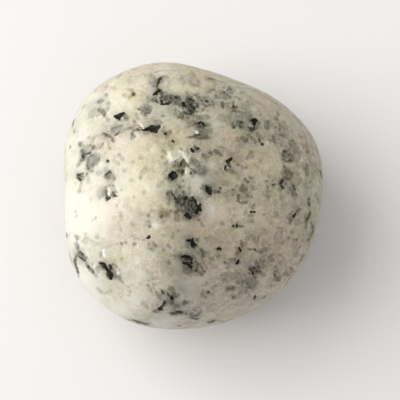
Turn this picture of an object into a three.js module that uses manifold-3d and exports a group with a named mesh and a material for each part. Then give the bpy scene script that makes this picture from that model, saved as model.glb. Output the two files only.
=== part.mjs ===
// A tumbled dalmatian jasper: one pebble of pale feldspar and quartz with black crystals.
// A broken lump with two dozen flat sides has been rolled until its corners are round, and
// small pits are left where crystals have dropped out of the surface.
// Millimetres, +Z up. The pebble rests on its worn flat at z = 0, and the middle of its
// bounding box is above the origin.

import * as THREE from "three";
import { mergeVertices } from "three/addons/utils/BufferGeometryUtils.js";
import Module from "manifold-3d";

// ---- Driving sizes ----

const MIDDLE_HEIGHT = 9.8; // the lump's middle above the worn flat
const FLAT_BLEND = 0.5; // height over which the worn flat runs into the round sides
const ROUNDING = 10; // how the sides join: higher keeps them flatter and their corners tighter
const SURFACE_CUTS = 16; // cuts along each edge of the icosahedron that the surface starts from

// Flat sides of the lump before it was rolled. Bearing is the direction a side faces round the
// upright, from +X towards +Y. Tilt is how far it faces up. Both are in degrees. Distance is
// from the lump's middle.
const SIDES = [
  // round the waist
  { bearing: 2, tilt: 4, distance: 13.7 },
  { bearing: 28, tilt: 6, distance: 13.5 },
  { bearing: 64, tilt: 12, distance: 11.8 },
  { bearing: 100, tilt: 4, distance: 13.8 },
  { bearing: 137, tilt: 2, distance: 15.6 },
  { bearing: 180, tilt: 6, distance: 13.7 },
  { bearing: 212, tilt: -4, distance: 16.2 },
  { bearing: 241, tilt: -4, distance: 15.9 },
  { bearing: 280, tilt: 4, distance: 13.6 },
  { bearing: 310, tilt: 0, distance: 13.8 },
  { bearing: 345, tilt: -4, distance: 12.9 },
  // sloping up to the crown
  { bearing: 20, tilt: 46, distance: 12.8 },
  { bearing: 78, tilt: 46, distance: 12.3 },
  { bearing: 138, tilt: 44, distance: 13.6 },
  { bearing: 190, tilt: 50, distance: 12.2 },
  { bearing: 240, tilt: 44, distance: 13.4 },
  { bearing: 310, tilt: 48, distance: 12.4 },
  // sloping in to the worn flat
  { bearing: 40, tilt: -50, distance: 12.2 },
  { bearing: 110, tilt: -48, distance: 12.6 },
  { bearing: 175, tilt: -50, distance: 12.4 },
  { bearing: 240, tilt: -48, distance: 13.0 },
  { bearing: 310, tilt: -50, distance: 12.2 },
  // crown and underside
  { bearing: 0, tilt: 90, distance: 10.9 },
  { bearing: 0, tilt: -90, distance: 10.6 },
];

// Slow swells of the surface, because hard and soft grains wear at different rates. Each is a
// wave along a direction, in radians per millimetre.
const SWELL_HEIGHT = 0.05;
const SWELLS = [
  { along: new THREE.Vector3(0.62, -0.35, 0.21), start: 0.4 },
  { along: new THREE.Vector3(-0.28, 0.71, 0.44), start: 1.9 },
  { along: new THREE.Vector3(0.33, 0.24, -0.83), start: 3.1 },
];

// Pits. Bearing and tilt point to a pit from the lump's middle, as for the sides. Turn is the
// angle of its length from the level line, anticlockwise seen from outside.
const PITS = [
  // crown
  { bearing: 160, tilt: 82, length: 1.1, width: 0.8, depth: 0.3, turn: 0 },
  { bearing: 191, tilt: 77, length: 1.0, width: 0.9, depth: 0.22, turn: 109 },
  { bearing: 298, tilt: 80, length: 0.9, width: 0.6, depth: 0.2, turn: 32 },
  { bearing: 16, tilt: 76, length: 0.9, width: 0.5, depth: 0.2, turn: 114 },
  { bearing: 94, tilt: 71, length: 0.8, width: 0.5, depth: 0.22, turn: 16 },
  // upper slopes
  { bearing: 137, tilt: 58, length: 1.8, width: 0.7, depth: 0.3, turn: 140 },
  { bearing: 143, tilt: 42, length: 1.2, width: 0.8, depth: 0.3, turn: 147 },
  { bearing: 43, tilt: 53, length: 0.9, width: 0.7, depth: 0.2, turn: 47 },
  { bearing: 168, tilt: 29, length: 1.1, width: 0.7, depth: 0.28, turn: 12 },
  { bearing: 178, tilt: 27, length: 0.9, width: 0.7, depth: 0.25, turn: 172 },
  { bearing: 190, tilt: 43, length: 1.1, width: 0.8, depth: 0.3, turn: 5 },
  { bearing: 224, tilt: 24, length: 1.8, width: 0.5, depth: 0.2, turn: 174 },
  { bearing: 266, tilt: 55, length: 1.0, width: 0.6, depth: 0.2, turn: 134 },
  { bearing: 262, tilt: 49, length: 1.2, width: 0.8, depth: 0.2, turn: 8 },
  { bearing: 258, tilt: 30, length: 0.7, width: 0.5, depth: 0.18, turn: 60 },
  { bearing: 353, tilt: 50, length: 1.1, width: 0.5, depth: 0.2, turn: 17 },
  // waist
  { bearing: 58, tilt: 16, length: 1.3, width: 0.8, depth: 0.3, turn: 30 },
  { bearing: 84, tilt: -6, length: 0.9, width: 0.6, depth: 0.2, turn: 85 },
  { bearing: 21, tilt: -12, length: 1.2, width: 0.6, depth: 0.25, turn: 150 },
  { bearing: 117, tilt: 11, length: 1.0, width: 0.8, depth: 0.25, turn: 70 },
  { bearing: 152, tilt: -18, length: 1.5, width: 0.7, depth: 0.3, turn: 20 },
  { bearing: 203, tilt: -7, length: 0.9, width: 0.7, depth: 0.2, turn: 120 },
  { bearing: 263, tilt: -9, length: 1.2, width: 0.5, depth: 0.2, turn: 44 },
  { bearing: 301, tilt: -16, length: 1.4, width: 0.9, depth: 0.3, turn: 160 },
  { bearing: 334, tilt: 9, length: 0.8, width: 0.6, depth: 0.2, turn: 95 },
  // underside
  { bearing: 232, tilt: -30, length: 1.0, width: 0.8, depth: 0.25, turn: 10 },
  { bearing: 351, tilt: -37, length: 1.1, width: 0.7, depth: 0.25, turn: 75 },
  { bearing: 41, tilt: -44, length: 1.4, width: 0.6, depth: 0.25, turn: 130 },
  { bearing: 103, tilt: -41, length: 0.8, width: 0.7, depth: 0.2, turn: 0 },
  { bearing: 176, tilt: -42, length: 1.3, width: 0.7, depth: 0.28, turn: 35 },
  { bearing: 284, tilt: -47, length: 0.9, width: 0.6, depth: 0.2, turn: 110 },
];
const PIT_RISE = 0.35; // share of a pit's depth by which its centre stands above the surface
const PIT_CUTS = 1; // cuts along each edge of the icosahedron that a pit is made from

// ---- The worn surface ----

function directionOf(bearing, tilt) {
  const b = THREE.MathUtils.degToRad(bearing);
  const t = THREE.MathUtils.degToRad(tilt);
  return new THREE.Vector3(Math.cos(b) * Math.cos(t), Math.sin(b) * Math.cos(t), Math.sin(t));
}

const sideDirections = SIDES.map(({ bearing, tilt }) => directionOf(bearing, tilt));

// Distance of the surface from the middle. Every side that a direction leans towards holds it
// in, and the power mean of them all rounds the corner between two sides.
function wornRadius(direction) {
  let sum = 0;
  SIDES.forEach(({ distance }, i) => {
    const lean = Math.max(0, sideDirections[i].dot(direction)) / distance;
    sum += lean ** ROUNDING;
  });
  return sum ** (-1 / ROUNDING);
}

function swellAt(point) {
  let height = 0;
  SWELLS.forEach(({ along, start }) => {
    height += SWELL_HEIGHT * Math.sin(along.dot(point) + start);
  });
  return height;
}

// The larger of two heights, with a smooth run from one to the other.
function smoothMax(height, floor, blend) {
  const share = Math.max(0, blend - Math.abs(height - floor)) / blend;
  return Math.max(height, floor) + (share * share * blend) / 4;
}

function wornPoint(direction) {
  const point = direction.clone().multiplyScalar(wornRadius(direction));
  point.addScaledVector(direction, swellAt(point));
  point.z = MIDDLE_HEIGHT + smoothMax(point.z, -MIDDLE_HEIGHT, FLAT_BLEND);
  return point;
}

// ---- Solids ----

const wasm = await Module();
wasm.setup();

// The geometry with its corners shared between faces.
function joined(geometry) {
  const bare = geometry.clone();
  bare.deleteAttribute("normal");
  bare.deleteAttribute("uv");
  return mergeVertices(bare, 1e-5);
}

function solidOf(geometry) {
  const closed = joined(geometry);
  const vertProperties = closed.getAttribute("position").array;
  const triVerts = new Uint32Array(closed.index.array);
  return new wasm.Manifold(new wasm.Mesh({ numProp: 3, vertProperties, triVerts }));
}

function geometryOf(solid) {
  const { vertProperties, triVerts } = solid.getMesh();
  const geometry = new THREE.BufferGeometry();
  geometry.setAttribute("position", new THREE.BufferAttribute(vertProperties, 3));
  geometry.setIndex(new THREE.BufferAttribute(triVerts, 1));
  geometry.computeVertexNormals();
  return geometry;
}

function wornLump() {
  const ball = joined(new THREE.IcosahedronGeometry(1, SURFACE_CUTS));
  const corners = ball.getAttribute("position");
  const direction = new THREE.Vector3();
  for (let i = 0; i < corners.count; i++) {
    direction.fromBufferAttribute(corners, i).normalize();
    corners.setXYZ(i, ...wornPoint(direction).toArray());
  }
  return ball;
}

// Axes of the surface at a bearing and tilt: level along it, up the slope, and out of it.
function surfaceAxes(bearing, tilt) {
  const step = 2;
  const left = wornPoint(directionOf(bearing - step, tilt));
  const right = wornPoint(directionOf(bearing + step, tilt));
  const below = wornPoint(directionOf(bearing, tilt - step));
  const above = wornPoint(directionOf(bearing, tilt + step));
  const level = right.sub(left).normalize();
  const out = level.clone().cross(above.sub(below)).normalize();
  return new THREE.Matrix4().makeBasis(level, out.clone().cross(level), out);
}

function pitSolid({ bearing, tilt, length, width, depth, turn }) {
  const axes = surfaceAxes(bearing, tilt);
  const out = new THREE.Vector3().setFromMatrixColumn(axes, 2);
  const centre = wornPoint(directionOf(bearing, tilt)).addScaledVector(out, PIT_RISE * depth);
  const hollow = new THREE.IcosahedronGeometry(1, PIT_CUTS);
  hollow.scale(length / 2, width / 2, depth * (1 + PIT_RISE));
  hollow.rotateZ(THREE.MathUtils.degToRad(turn));
  hollow.applyMatrix4(axes);
  hollow.translate(...centre.toArray());
  return solidOf(hollow);
}

// ---- The pebble ----

let pebble = solidOf(wornLump());
for (const pit of PITS) pebble = pebble.subtract(pitSolid(pit));

const shape = geometryOf(pebble);
shape.computeBoundingBox();
const middle = shape.boundingBox.getCenter(new THREE.Vector3());
shape.translate(-middle.x, -middle.y, 0);

const spottedStone = new THREE.MeshStandardMaterial({ color: 0xd8d0b8, roughness: 0.5, metalness: 0 });
const stone = new THREE.Mesh(shape, spottedStone);
stone.name = "stone";

const dalmatianJasper = new THREE.Group();
dalmatianJasper.name = "dalmatian_jasper";
dalmatianJasper.add(stone);

export default dalmatianJasper;
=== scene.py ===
# %% [markdown]
# # A tumbled dalmatian jasper
#
# Dalmatian jasper is a pale rock of feldspar and quartz, sprinkled with black crystals. A piece
# of it that has been rolled in a drum with grit comes out as a rounded pebble with a waxy, fine
# surface. This lesson models one such pebble, 27 mm long. It is one body, so nearly all of the
# work is in its surface: grey glassy grains in a cream ground, black crystals with smoky clouds
# round them, pits with bright broken edges, and a few rusty stains.

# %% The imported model, which fixes the pebble's size and place
import math

import bpy
import numpy as np
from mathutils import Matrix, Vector
from mathutils.kdtree import KDTree


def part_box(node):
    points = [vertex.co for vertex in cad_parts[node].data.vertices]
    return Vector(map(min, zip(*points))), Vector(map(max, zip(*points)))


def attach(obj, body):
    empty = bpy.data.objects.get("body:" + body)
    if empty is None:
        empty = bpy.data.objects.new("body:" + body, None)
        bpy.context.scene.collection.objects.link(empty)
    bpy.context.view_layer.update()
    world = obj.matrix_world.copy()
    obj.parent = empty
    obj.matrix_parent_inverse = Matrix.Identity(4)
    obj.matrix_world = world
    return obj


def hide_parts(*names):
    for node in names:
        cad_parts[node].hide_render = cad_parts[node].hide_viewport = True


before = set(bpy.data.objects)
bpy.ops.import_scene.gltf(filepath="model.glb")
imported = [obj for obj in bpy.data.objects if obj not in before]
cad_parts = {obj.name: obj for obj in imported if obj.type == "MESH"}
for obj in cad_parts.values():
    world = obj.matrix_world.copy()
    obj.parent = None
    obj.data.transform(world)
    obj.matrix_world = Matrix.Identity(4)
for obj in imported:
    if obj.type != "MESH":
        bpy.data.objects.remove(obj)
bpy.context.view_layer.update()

CAD_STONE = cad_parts["stone"]
MM = 0.001

STONE_LOW, STONE_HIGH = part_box("stone")
STONE_MIDDLE = (STONE_LOW + STONE_HIGH) / 2
print("pebble", [round(side / MM, 2) for side in STONE_HIGH - STONE_LOW], "mm")

# %% [markdown]
# ## The camera
#
# The camera comes first, because the marks on the upper side of the pebble are laid out as they
# are seen from it. It looks down steeply from the front, 170 mm away, and its picture is 40 mm
# wide where the pebble lies. The pebble lies a little left of the picture's middle and a little
# above it, so the camera aims past the pebble's own middle.

# %% Camera
CAMERA_ELEVATION = math.radians(80)
CAMERA_DISTANCE = 170 * MM
PICTURE_WIDTH = 40 * MM
SENSOR_WIDTH = 36  # millimetres, as cameras are described
AIM_RIGHT, AIM_DOWN = 0.71 * MM, 0.72 * MM
NEAREST_SEEN = 10 * MM

towards_camera = Vector((0, -math.cos(CAMERA_ELEVATION), math.sin(CAMERA_ELEVATION)))
picture_right = Vector((1, 0, 0))
picture_up = towards_camera.cross(picture_right)
aim = STONE_MIDDLE + picture_right * AIM_RIGHT - picture_up * AIM_DOWN
eye = aim + towards_camera * CAMERA_DISTANCE

bpy.ops.object.camera_add(location=eye)
camera = bpy.context.object
camera.name = "camera"
camera.rotation_euler = towards_camera.to_track_quat("Z", "Y").to_euler()
camera.data.sensor_width = SENSOR_WIDTH
camera.data.lens = SENSOR_WIDTH * CAMERA_DISTANCE / PICTURE_WIDTH
camera.data.clip_start = NEAREST_SEEN
bpy.context.scene.camera = camera
print("lens", round(camera.data.lens, 1), "mm")

# %% [markdown]
# ## The pebble's body
#
# A rolled stone has no edges and no regular form, so it is not built from profiles. A fine ball
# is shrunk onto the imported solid, which already has the worn sides, as a bag shrinks onto what
# it holds. The ball starts as a cube that is cut into small squares and then made round, because
# a cube's squares stay even all over, where a globe's rings would crowd at the poles. Its centre
# lies high in the pebble, so the squares are finest on the crown, where the marks are seen.

# %% A ball of small squares round the pebble
BALL_RADIUS = 24 * MM
BALL_CENTRE = Vector((0, 0, 14 * MM))
FIRST_CUTS, SECOND_CUTS = 31, 3  # cuts along an edge, one after the other: 128 squares a side

bpy.ops.object.select_all(action="DESELECT")
bpy.ops.mesh.primitive_cube_add(size=2 * BALL_RADIUS, location=BALL_CENTRE)
pebble = bpy.context.object
pebble.name = "tumbled_stone"
bpy.ops.object.mode_set(mode="EDIT")
bpy.ops.mesh.subdivide(number_cuts=FIRST_CUTS)
bpy.ops.mesh.subdivide(number_cuts=SECOND_CUTS)
bpy.ops.object.mode_set(mode="OBJECT")


def apply_modifier(piece, kind, **settings):
    """Adds a modifier, sets it and applies it."""
    bpy.context.view_layer.objects.active = piece
    modifier = piece.modifiers.new(kind.lower(), kind)
    for name, value in settings.items():
        setattr(modifier, name, value)
    bpy.ops.object.modifier_apply(modifier=modifier.name)


apply_modifier(pebble, "CAST", cast_type="SPHERE", factor=1, size=BALL_RADIUS,
               use_radius_as_size=False)
bpy.ops.object.transform_apply(location=True, rotation=False, scale=False)
print(len(pebble.data.polygons), "squares")

# %% [markdown]
# The mesh is read as arrays, so that all of its corners are measured at once. A vertex group holds
# a modifier to some of the corners, in whole steps of strength.

# %% Helpers for corners
WEIGHT_STEPS = 50


def read(piece, name):
    """Three numbers for every corner of a mesh, as an array of rows."""
    flat = np.empty(len(piece.data.vertices) * 3, np.float32)
    piece.data.vertices.foreach_get(name, flat)
    return flat.reshape(-1, 3).astype(float)


def ramp(value, start, end):
    """0 up to start and 1 from end on, with a smooth run between them."""
    share = np.clip((value - start) / (end - start), 0, 1)
    return share * share * (3 - 2 * share)


def weight_group(piece, name, weights):
    """A vertex group with these weights, from 0 to 1."""
    group = piece.vertex_groups.new(name=name)
    rounded = np.ceil(np.clip(weights, 0, 1) * WEIGHT_STEPS).astype(int)
    for step in range(1, WEIGHT_STEPS + 1):
        chosen = np.nonzero(rounded == step)[0]
        group.add(chosen.tolist(), step / WEIGHT_STEPS, "REPLACE")
    return group.name


print(len(read(pebble, "co")), "corners")

# %% [markdown]
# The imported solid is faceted, so the shrunk skin would show its flat triangles. Smoothing takes
# them out, and it would also take out the pits. So the skin is shrunk twice: once all over and
# then smoothed, and once more only where the first skin lay deeper than the smoothed one, which
# is in the pits.

# %% Shrink, smooth, and keep the pits
SMOOTH_STEPS, SMOOTH_SHARE = 60, 0.5
PIT_STARTS, PIT_FULL = 0.02 * MM, 0.07 * MM  # depth under the smoothed skin

shrink = dict(target=CAD_STONE, wrap_method="PROJECT", use_negative_direction=True)
apply_modifier(pebble, "SHRINKWRAP", use_positive_direction=False, **shrink)
shrunk = read(pebble, "co")
apply_modifier(pebble, "SMOOTH", factor=SMOOTH_SHARE, iterations=SMOOTH_STEPS)
depth = np.sum((read(pebble, "co") - shrunk) * read(pebble, "normal"), axis=1)
pits = ramp(depth, PIT_STARTS, PIT_FULL)
pit_group = weight_group(pebble, "pits", pits)
apply_modifier(pebble, "SHRINKWRAP", use_positive_direction=True, vertex_group=pit_group, **shrink)
print("corners in pits", int((pits > 0.5).sum()), "deepest", round(depth.max() / MM, 2), "mm")

# %% [markdown]
# ## Painting on the pebble
#
# The grains of a rock follow no pattern that a texture node makes, and they lie in known places,
# so they are painted with brush strokes. A stroke is a run of points, each with its own
# half-width. A hard stroke keeps, at every corner of the mesh, how far the corner is from the
# stroke's edge, and not a colour. The material cuts the edge itself, so that it is sharp and can
# be made ragged, even though the mesh is coarser than the edge. A soft stroke keeps how much
# paint lies on the corner.
#
# The paints are named for what they stand for. Hard ones are crystals of a black amphibole,
# grains of quartz and chips, whose white is partly painted glints of highlight. Soft ones are the
# smoke of crystals that lie deeper, broad grey washes round the clusters, and brown specks.

# %% Brush
HARD_PAINTS = ("crystal", "quartz", "chip")
SOFT_EDGES = {"smoke": (-0.08, 0.13), "wash": (-0.35, 0.45), "brown": (-0.08, 0.13)}
CLOUD_PAINTS = ("cream", "grey", "pale", "dim", "cool", "halo", "rust", "moss",
                "straw", "pink", "green", "ash")
FAR = 1.0  # millimetres, past which a distance no longer matters
LONGEST = 2.2  # a mark is at most this many times longer on the surface than it looks
TINY = 1e-9  # keeps a stroke of one point from dividing by nothing


def stroke_gap(places, points, in_space=None):
    """Millimetres from each place to the edge of a stroke, negative inside it. in_space gives
    where the places and the points lie in space, so that no mark is drawn out down a flank."""
    gap = np.full(len(places), np.inf)
    for first in range(max(len(points) - 1, 1)):
        last = min(first + 1, len(points) - 1)
        (ax, ay, a_half), (bx, by, b_half) = points[first], points[last]
        start, run = np.array((ax, ay)), np.array((bx - ax, by - ay))
        along = np.clip((places - start) @ run / max(run @ run, TINY), 0, 1)
        off = np.linalg.norm(places - start - along[:, None] * run, axis=1)
        if in_space:
            solid, bones = in_space
            bone = bones[first] + along[:, None] * (bones[last] - bones[first])
            off = np.maximum(off, np.linalg.norm(solid - bone, axis=1) / LONGEST)
        gap = np.minimum(gap, off - a_half - along * (b_half - a_half))
    return gap


print(len(HARD_PAINTS), "hard paints,", len(SOFT_EDGES), "soft ones,", len(CLOUD_PAINTS), "clouds")

# %% [markdown]
# The canvas holds what has been painted so far. Soft paint lies over soft paint, and of two hard
# strokes the one with the nearer edge counts.

# %% Canvas
class Canvas:
    """The marks painted on the pebble so far, one value for each corner of its mesh."""

    def __init__(self, corner_count):
        paints = (*HARD_PAINTS, *SOFT_EDGES, *CLOUD_PAINTS)
        self.gap = {paint: np.full(corner_count, FAR) for paint in HARD_PAINTS}
        self.amount = {paint: np.zeros(corner_count) for paint in paints}

    def add(self, paint, corners, amount):
        """Lays soft paint over what is there."""
        left = 1 - self.amount[paint][corners]
        self.amount[paint][corners] = 1 - left * (1 - amount)

    def stroke(self, paint, corners, gap, strength):
        """Lays a stroke, given how far each corner is from its edge."""
        if paint in SOFT_EDGES:
            full, gone = SOFT_EDGES[paint]
            self.add(paint, corners, strength * ramp(gap, gone, full))
            return
        nearer = gap < self.gap[paint][corners]
        self.gap[paint][corners[nearer]] = gap[nearer]
        self.amount[paint][corners[nearer]] = strength


canvas = Canvas(len(pebble.data.vertices))
print("values on the canvas:", len(canvas.gap) + len(canvas.amount), "for each corner")

# %% [markdown]
# ### The upper side
#
# These are the marks of this very pebble, in millimetres right of and above the middle of its
# outline, as the camera sees it. Each bracket is one stroke: its strength, from 0 to 1, and then
# three numbers for each of its points, which are the point's place and its half-width. The
# crystals that reach the surface come first.

# %% Black crystals of the upper side
CRYSTALS = (
    # upper left shoulder
    (.65, -6, 10.2, .15), (1, -7.9, 8, .13, -7.55, 7.95, .26, -7, 8.3, .14),
    (1, -7.5, 7.9, .2, -7.4, 7.65, .09), (.7, -6.85, 7.8, .1),
    (1, -5.1, 6.65, .11, -4.85, 6.65, .15, -4.45, 6.75, .2,
     -4.15, 6.85, .25, -3.75, 6.75, .28, -3.45, 6.95, .18),
    (1, -4.25, 6.5, .14, -3.7, 6.45, .14), (.91, -3.4, 7.1, .11), (1, -11.1, 4.05, .13, -11.05, 3.85, .15),
    (.88, -11.05, 4.35, .12), (.84, -11, 4.1, .11, -10.6, 4.25, .1, -10.4, 4.3, .12),
    (.75, -10.95, 3.65, .1), (.65, -10.3, 4, .09), (.7, -10.3, 4.45, .09), (.99, -8.6, 3.5, .15),
    (.84, -11.55, 2.1, .16), (.79, -11.3, 2.1, .1, -11.05, 2.3, .1),
    (.99, -11.55, 1.8, .12, -11.35, 1.6, .15), (.91, -8.85, 2.1, .11, -8.6, 2.3, .11, -8.35, 2.5, .11),
    (.65, -8.35, 2.5, .1, -8.2, 2.3, .09), (.75, -8.75, .6, .1, -8.7, .05, .12),
    (.94, -8.7, -.15, .15, -8.45, -.2, .15), (.91, -8.65, -.4, .12), (.84, -8.1, .35, .11),
    (.91, -8, .15, .12, -7.85, 0, .12),
    # upper edge
    (.94, -3.25, 11.85, .16, -3.45, 11.65, .17, -3.5, 11.35, .16), (.88, -3.55, 11.3, .13, -3.65, 11, .11),
    (.99, -3.35, 10.6, .14, -3.55, 10.5, .18, -3.8, 10.3, .15, -4, 10.15, .11), (.97, -3.6, 10.2, .11),
    (.91, -3.65, 9.45, .12), (.94, -3.2, 9.55, .14, -3.15, 9.3, .13),
    (.97, -3.25, 9.2, .1, -2.8, 9.2, .11, -2.4, 9.3, .12), (.3, -2.7, 9.75, .1), (.7, -2.45, 9.5, .12),
    (.79, -2.6, 10.05, .09), (.65, -1.75, 9.95, .13, -1.4, 9.95, .14), (.79, -2.3, 9.4, .11),
    (.94, -2.5, 9.2, .12), (.75, -1.8, 9.4, .1), (.75, -1.75, 9.2, .09), (1, -1, 9.3, .19, -.95, 9.1, .19),
    (.65, -1.05, 9, .12, -1.05, 8.75, .08), (.88, -.35, 9.7, .15), (.91, .05, 9.55, .11),
    (.75, -.25, 9.15, .15, .05, 8.85, .18, .15, 8.65, .14), (.8, -.3, 8.55, .14, -.05, 8.4, .18),
    (.8, -.7, 8.25, .13, -.3, 8.25, .15), (.8, -.9, 8.4, .12), (.65, .4, 9.25, .11, .45, 8.9, .12),
    (.2, -.5, 8.75, .15), (.8, .35, 8.45, .13), (.84, .75, 9.6, .09, .9, 9.55, .09),
    (.91, 1.25, 9.5, .11, 1.4, 9.5, .12),
    # crown
    (1, -2.8, 6.25, .16), (.99, -2.1, 5.55, .12, -1.95, 5.4, .12),
    (.97, .55, 7.35, .12, .8, 7.4, .14, 1, 7.25, .14, 1.1, 7, .12), (.8, .1, 6.15, .1, .65, 6.15, .1),
    (1, -.2, 4.7, .15, -.05, 4.5, .19), (1, .35, 4.75, .13, .5, 4.8, .13),
    (.78, -1.15, 3.4, .12, -1.25, 3.1, .12),
    (1, -2.3, 2.05, .22, -2, 2.25, .24, -1.75, 2, .2, -2.1, 1.8, .24), (.97, -2.15, 1.7, .15),
    (.75, -2.45, 1.75, .11), (.65, -1.15, 2.35, .18), (.75, -1, 2.6, .12, -1.1, 2.15, .12),
    (.91, 1.25, 1.05, .1, 1.35, .9, .11), (1, 1.45, .75, .23, 1.6, .5, .29, 1.65, .3, .23),
    (.99, 1.7, .8, .13, 1.75, .25, .12), (.88, 2.7, .8, .12), (.7, 2.5, .45, .12),
    (.84, -2.15, .25, .11, -1.9, -.1, .12, -1.75, -.35, .11), (.94, -.7, -.1, .15, -.8, -.35, .13),
    (.75, -.45, -.45, .11, -.05, -.45, .11), (1, -.1, -.15, .12, .2, -.45, .13, .3, -.8, .13, .5, -1.1, .16),
    (1, .7, -.9, .14), (1, .6, -1.1, .18, .75, -1.45, .13), (1, .45, -1.35, .2, .3, -1.65, .22),
    (.99, -.85, -1.95, .12, -.65, -1.75, .18, -.55, -2, .26, -.3, -2.15, .17),
    (.65, -.25, -1, .11, -.15, -.8, .11), (.75, -.05, -1.3, .12),
    (1, 3.4, 3.45, .19, 3.6, 3.55, .17, 3.8, 3.75, .17), (.91, 3.2, 3, .11, 3.2, 2.7, .12),
    # upper right
    (.99, 5.8, 7.6, .12, 6.1, 7.6, .22, 6.4, 7.55, .12), (1, 6.1, 7.5, .22, 6.1, 7.15, .14),
    (.91, 6.25, 7.75, .11), (.6, 5.55, 6.85, .12, 5.8, 6.7, .16, 6.1, 6.8, .13), (.94, 4.05, 6.85, .12),
    (.94, 6.9, 5.2, .16), (.75, 6.6, 5.7, .11, 6.65, 5.45, .12),
    # right
    (.85, 8.95, 1.6, .15, 8.8, 1.35, .17), (.88, 8.85, 1.05, .13, 9, .75, .14),
    (.79, 7.95, 1.1, .09, 8.2, 1.2, .09), (.94, 5.75, -1.6, .12, 6.15, -1.6, .12),
    (.94, 10.25, -1.75, .11, 10.05, -2.05, .15),
    # lower left
    (.88, -11.45, -5.55, .1, -11.25, -5.7, .12, -11.05, -5.9, .12),
    (.88, -11.5, -6.05, .11, -11.2, -6.3, .12, -10.85, -6.5, .12), (.75, -11.55, -7.6, .14),
    (.99, -10.55, -7.1, .13),
    (1, -9.3, -6.75, .13, -9, -6.8, .16, -8.75, -7.2, .19,
     -8.45, -7.6, .2, -8.25, -7.95, .26, -8.3, -8.25, .2),
    (.99, -8.4, -6.95, .12, -8.25, -7.25, .14), (.99, -4.6, -4.2, .14, -4.45, -4.1, .19),
    (.79, -3.2, -9.45, .1, -3, -9.8, .12), (.75, -2.6, -9.75, .11, -2.45, -10, .11),
    (1, -2.85, -10.6, .15, -3, -10.9, .12, -3.25, -11.2, .14, -3.5, -11.35, .15), (.9, -3.15, -11.4, .15),
    # the next streak, on the lower edge, is a crystal deepened by painted shade where the edge turns under
    (.95, -5.95, -12.45, .13, -5.65, -12.55, .15, -5.3, -12.65, .15, -5.05, -12.8, .16),
    # lower middle
    (1, -.65, -4.45, .12, -.45, -4.45, .16, -.15, -4.45, .15), (.99, -.05, -4.4, .12, -.05, -4.2, .09),
    (1, -.05, -4.5, .13, -.05, -4.95, .22), (1, .2, -4.9, .16),
    (1, -1.15, -6.1, .12, -.8, -6.05, .15, -.5, -6.15, .22, -.25, -6.3, .2),
    (.97, -.3, -6.2, .16, -.2, -6.45, .14),
    (1, -1, -6.7, .14, -.7, -6.75, .16, -.4, -6.95, .17, -.25, -7.2, .14), (1, -.2, -6.75, .14),
    (1, 2.4, -5.35, .11, 2.55, -5.25, .15, 2.75, -5.35, .11), (1, -2.15, -10.15, .17, -2.15, -10.35, .16),
    (.88, -2.2, -11.7, .12), (.79, -2.05, -11.8, .11, -1.8, -11.8, .12),
    (.91, -1.7, -11.65, .14, -1.35, -11.65, .16, -1.15, -11.75, .12), (.75, .05, -11.45, .12),
    (.95, .25, -12.35, .13, .4, -12.35, .15), (.94, 4, -3, .13), (.94, 4.35, -2.9, .13, 4.35, -3.1, .12),
    (.55, 4.6, -3, .11, 4.85, -3.05, .11), (1, 4.6, -5.25, .12, 4.75, -5.5, .14),
    (1, 4.55, -6.45, .12, 4.45, -6.65, .15, 4.35, -6.8, .12), (.79, 6.2, -5.35, .12, 6.25, -5.5, .09),
    # lower right
    (.94, 5.95, -7.65, .12, 6, -7.85, .12), (.75, 6.05, -7.2, .13), (.75, 5.65, -7.35, .12, 5.8, -7.45, .12),
    (.97, 6.2, -10.05, .13, 6.1, -10.3, .13),
)
print(len(CRYSTALS), "strokes of crystal")

# %% [markdown]
# Feldspar is a little clear, so a crystal that lies under the surface shows through it as a
# grey-green shadow. Most of the dark marks of this rock are of that kind, with a few black spots
# in them where the crystal reaches the surface.

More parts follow.
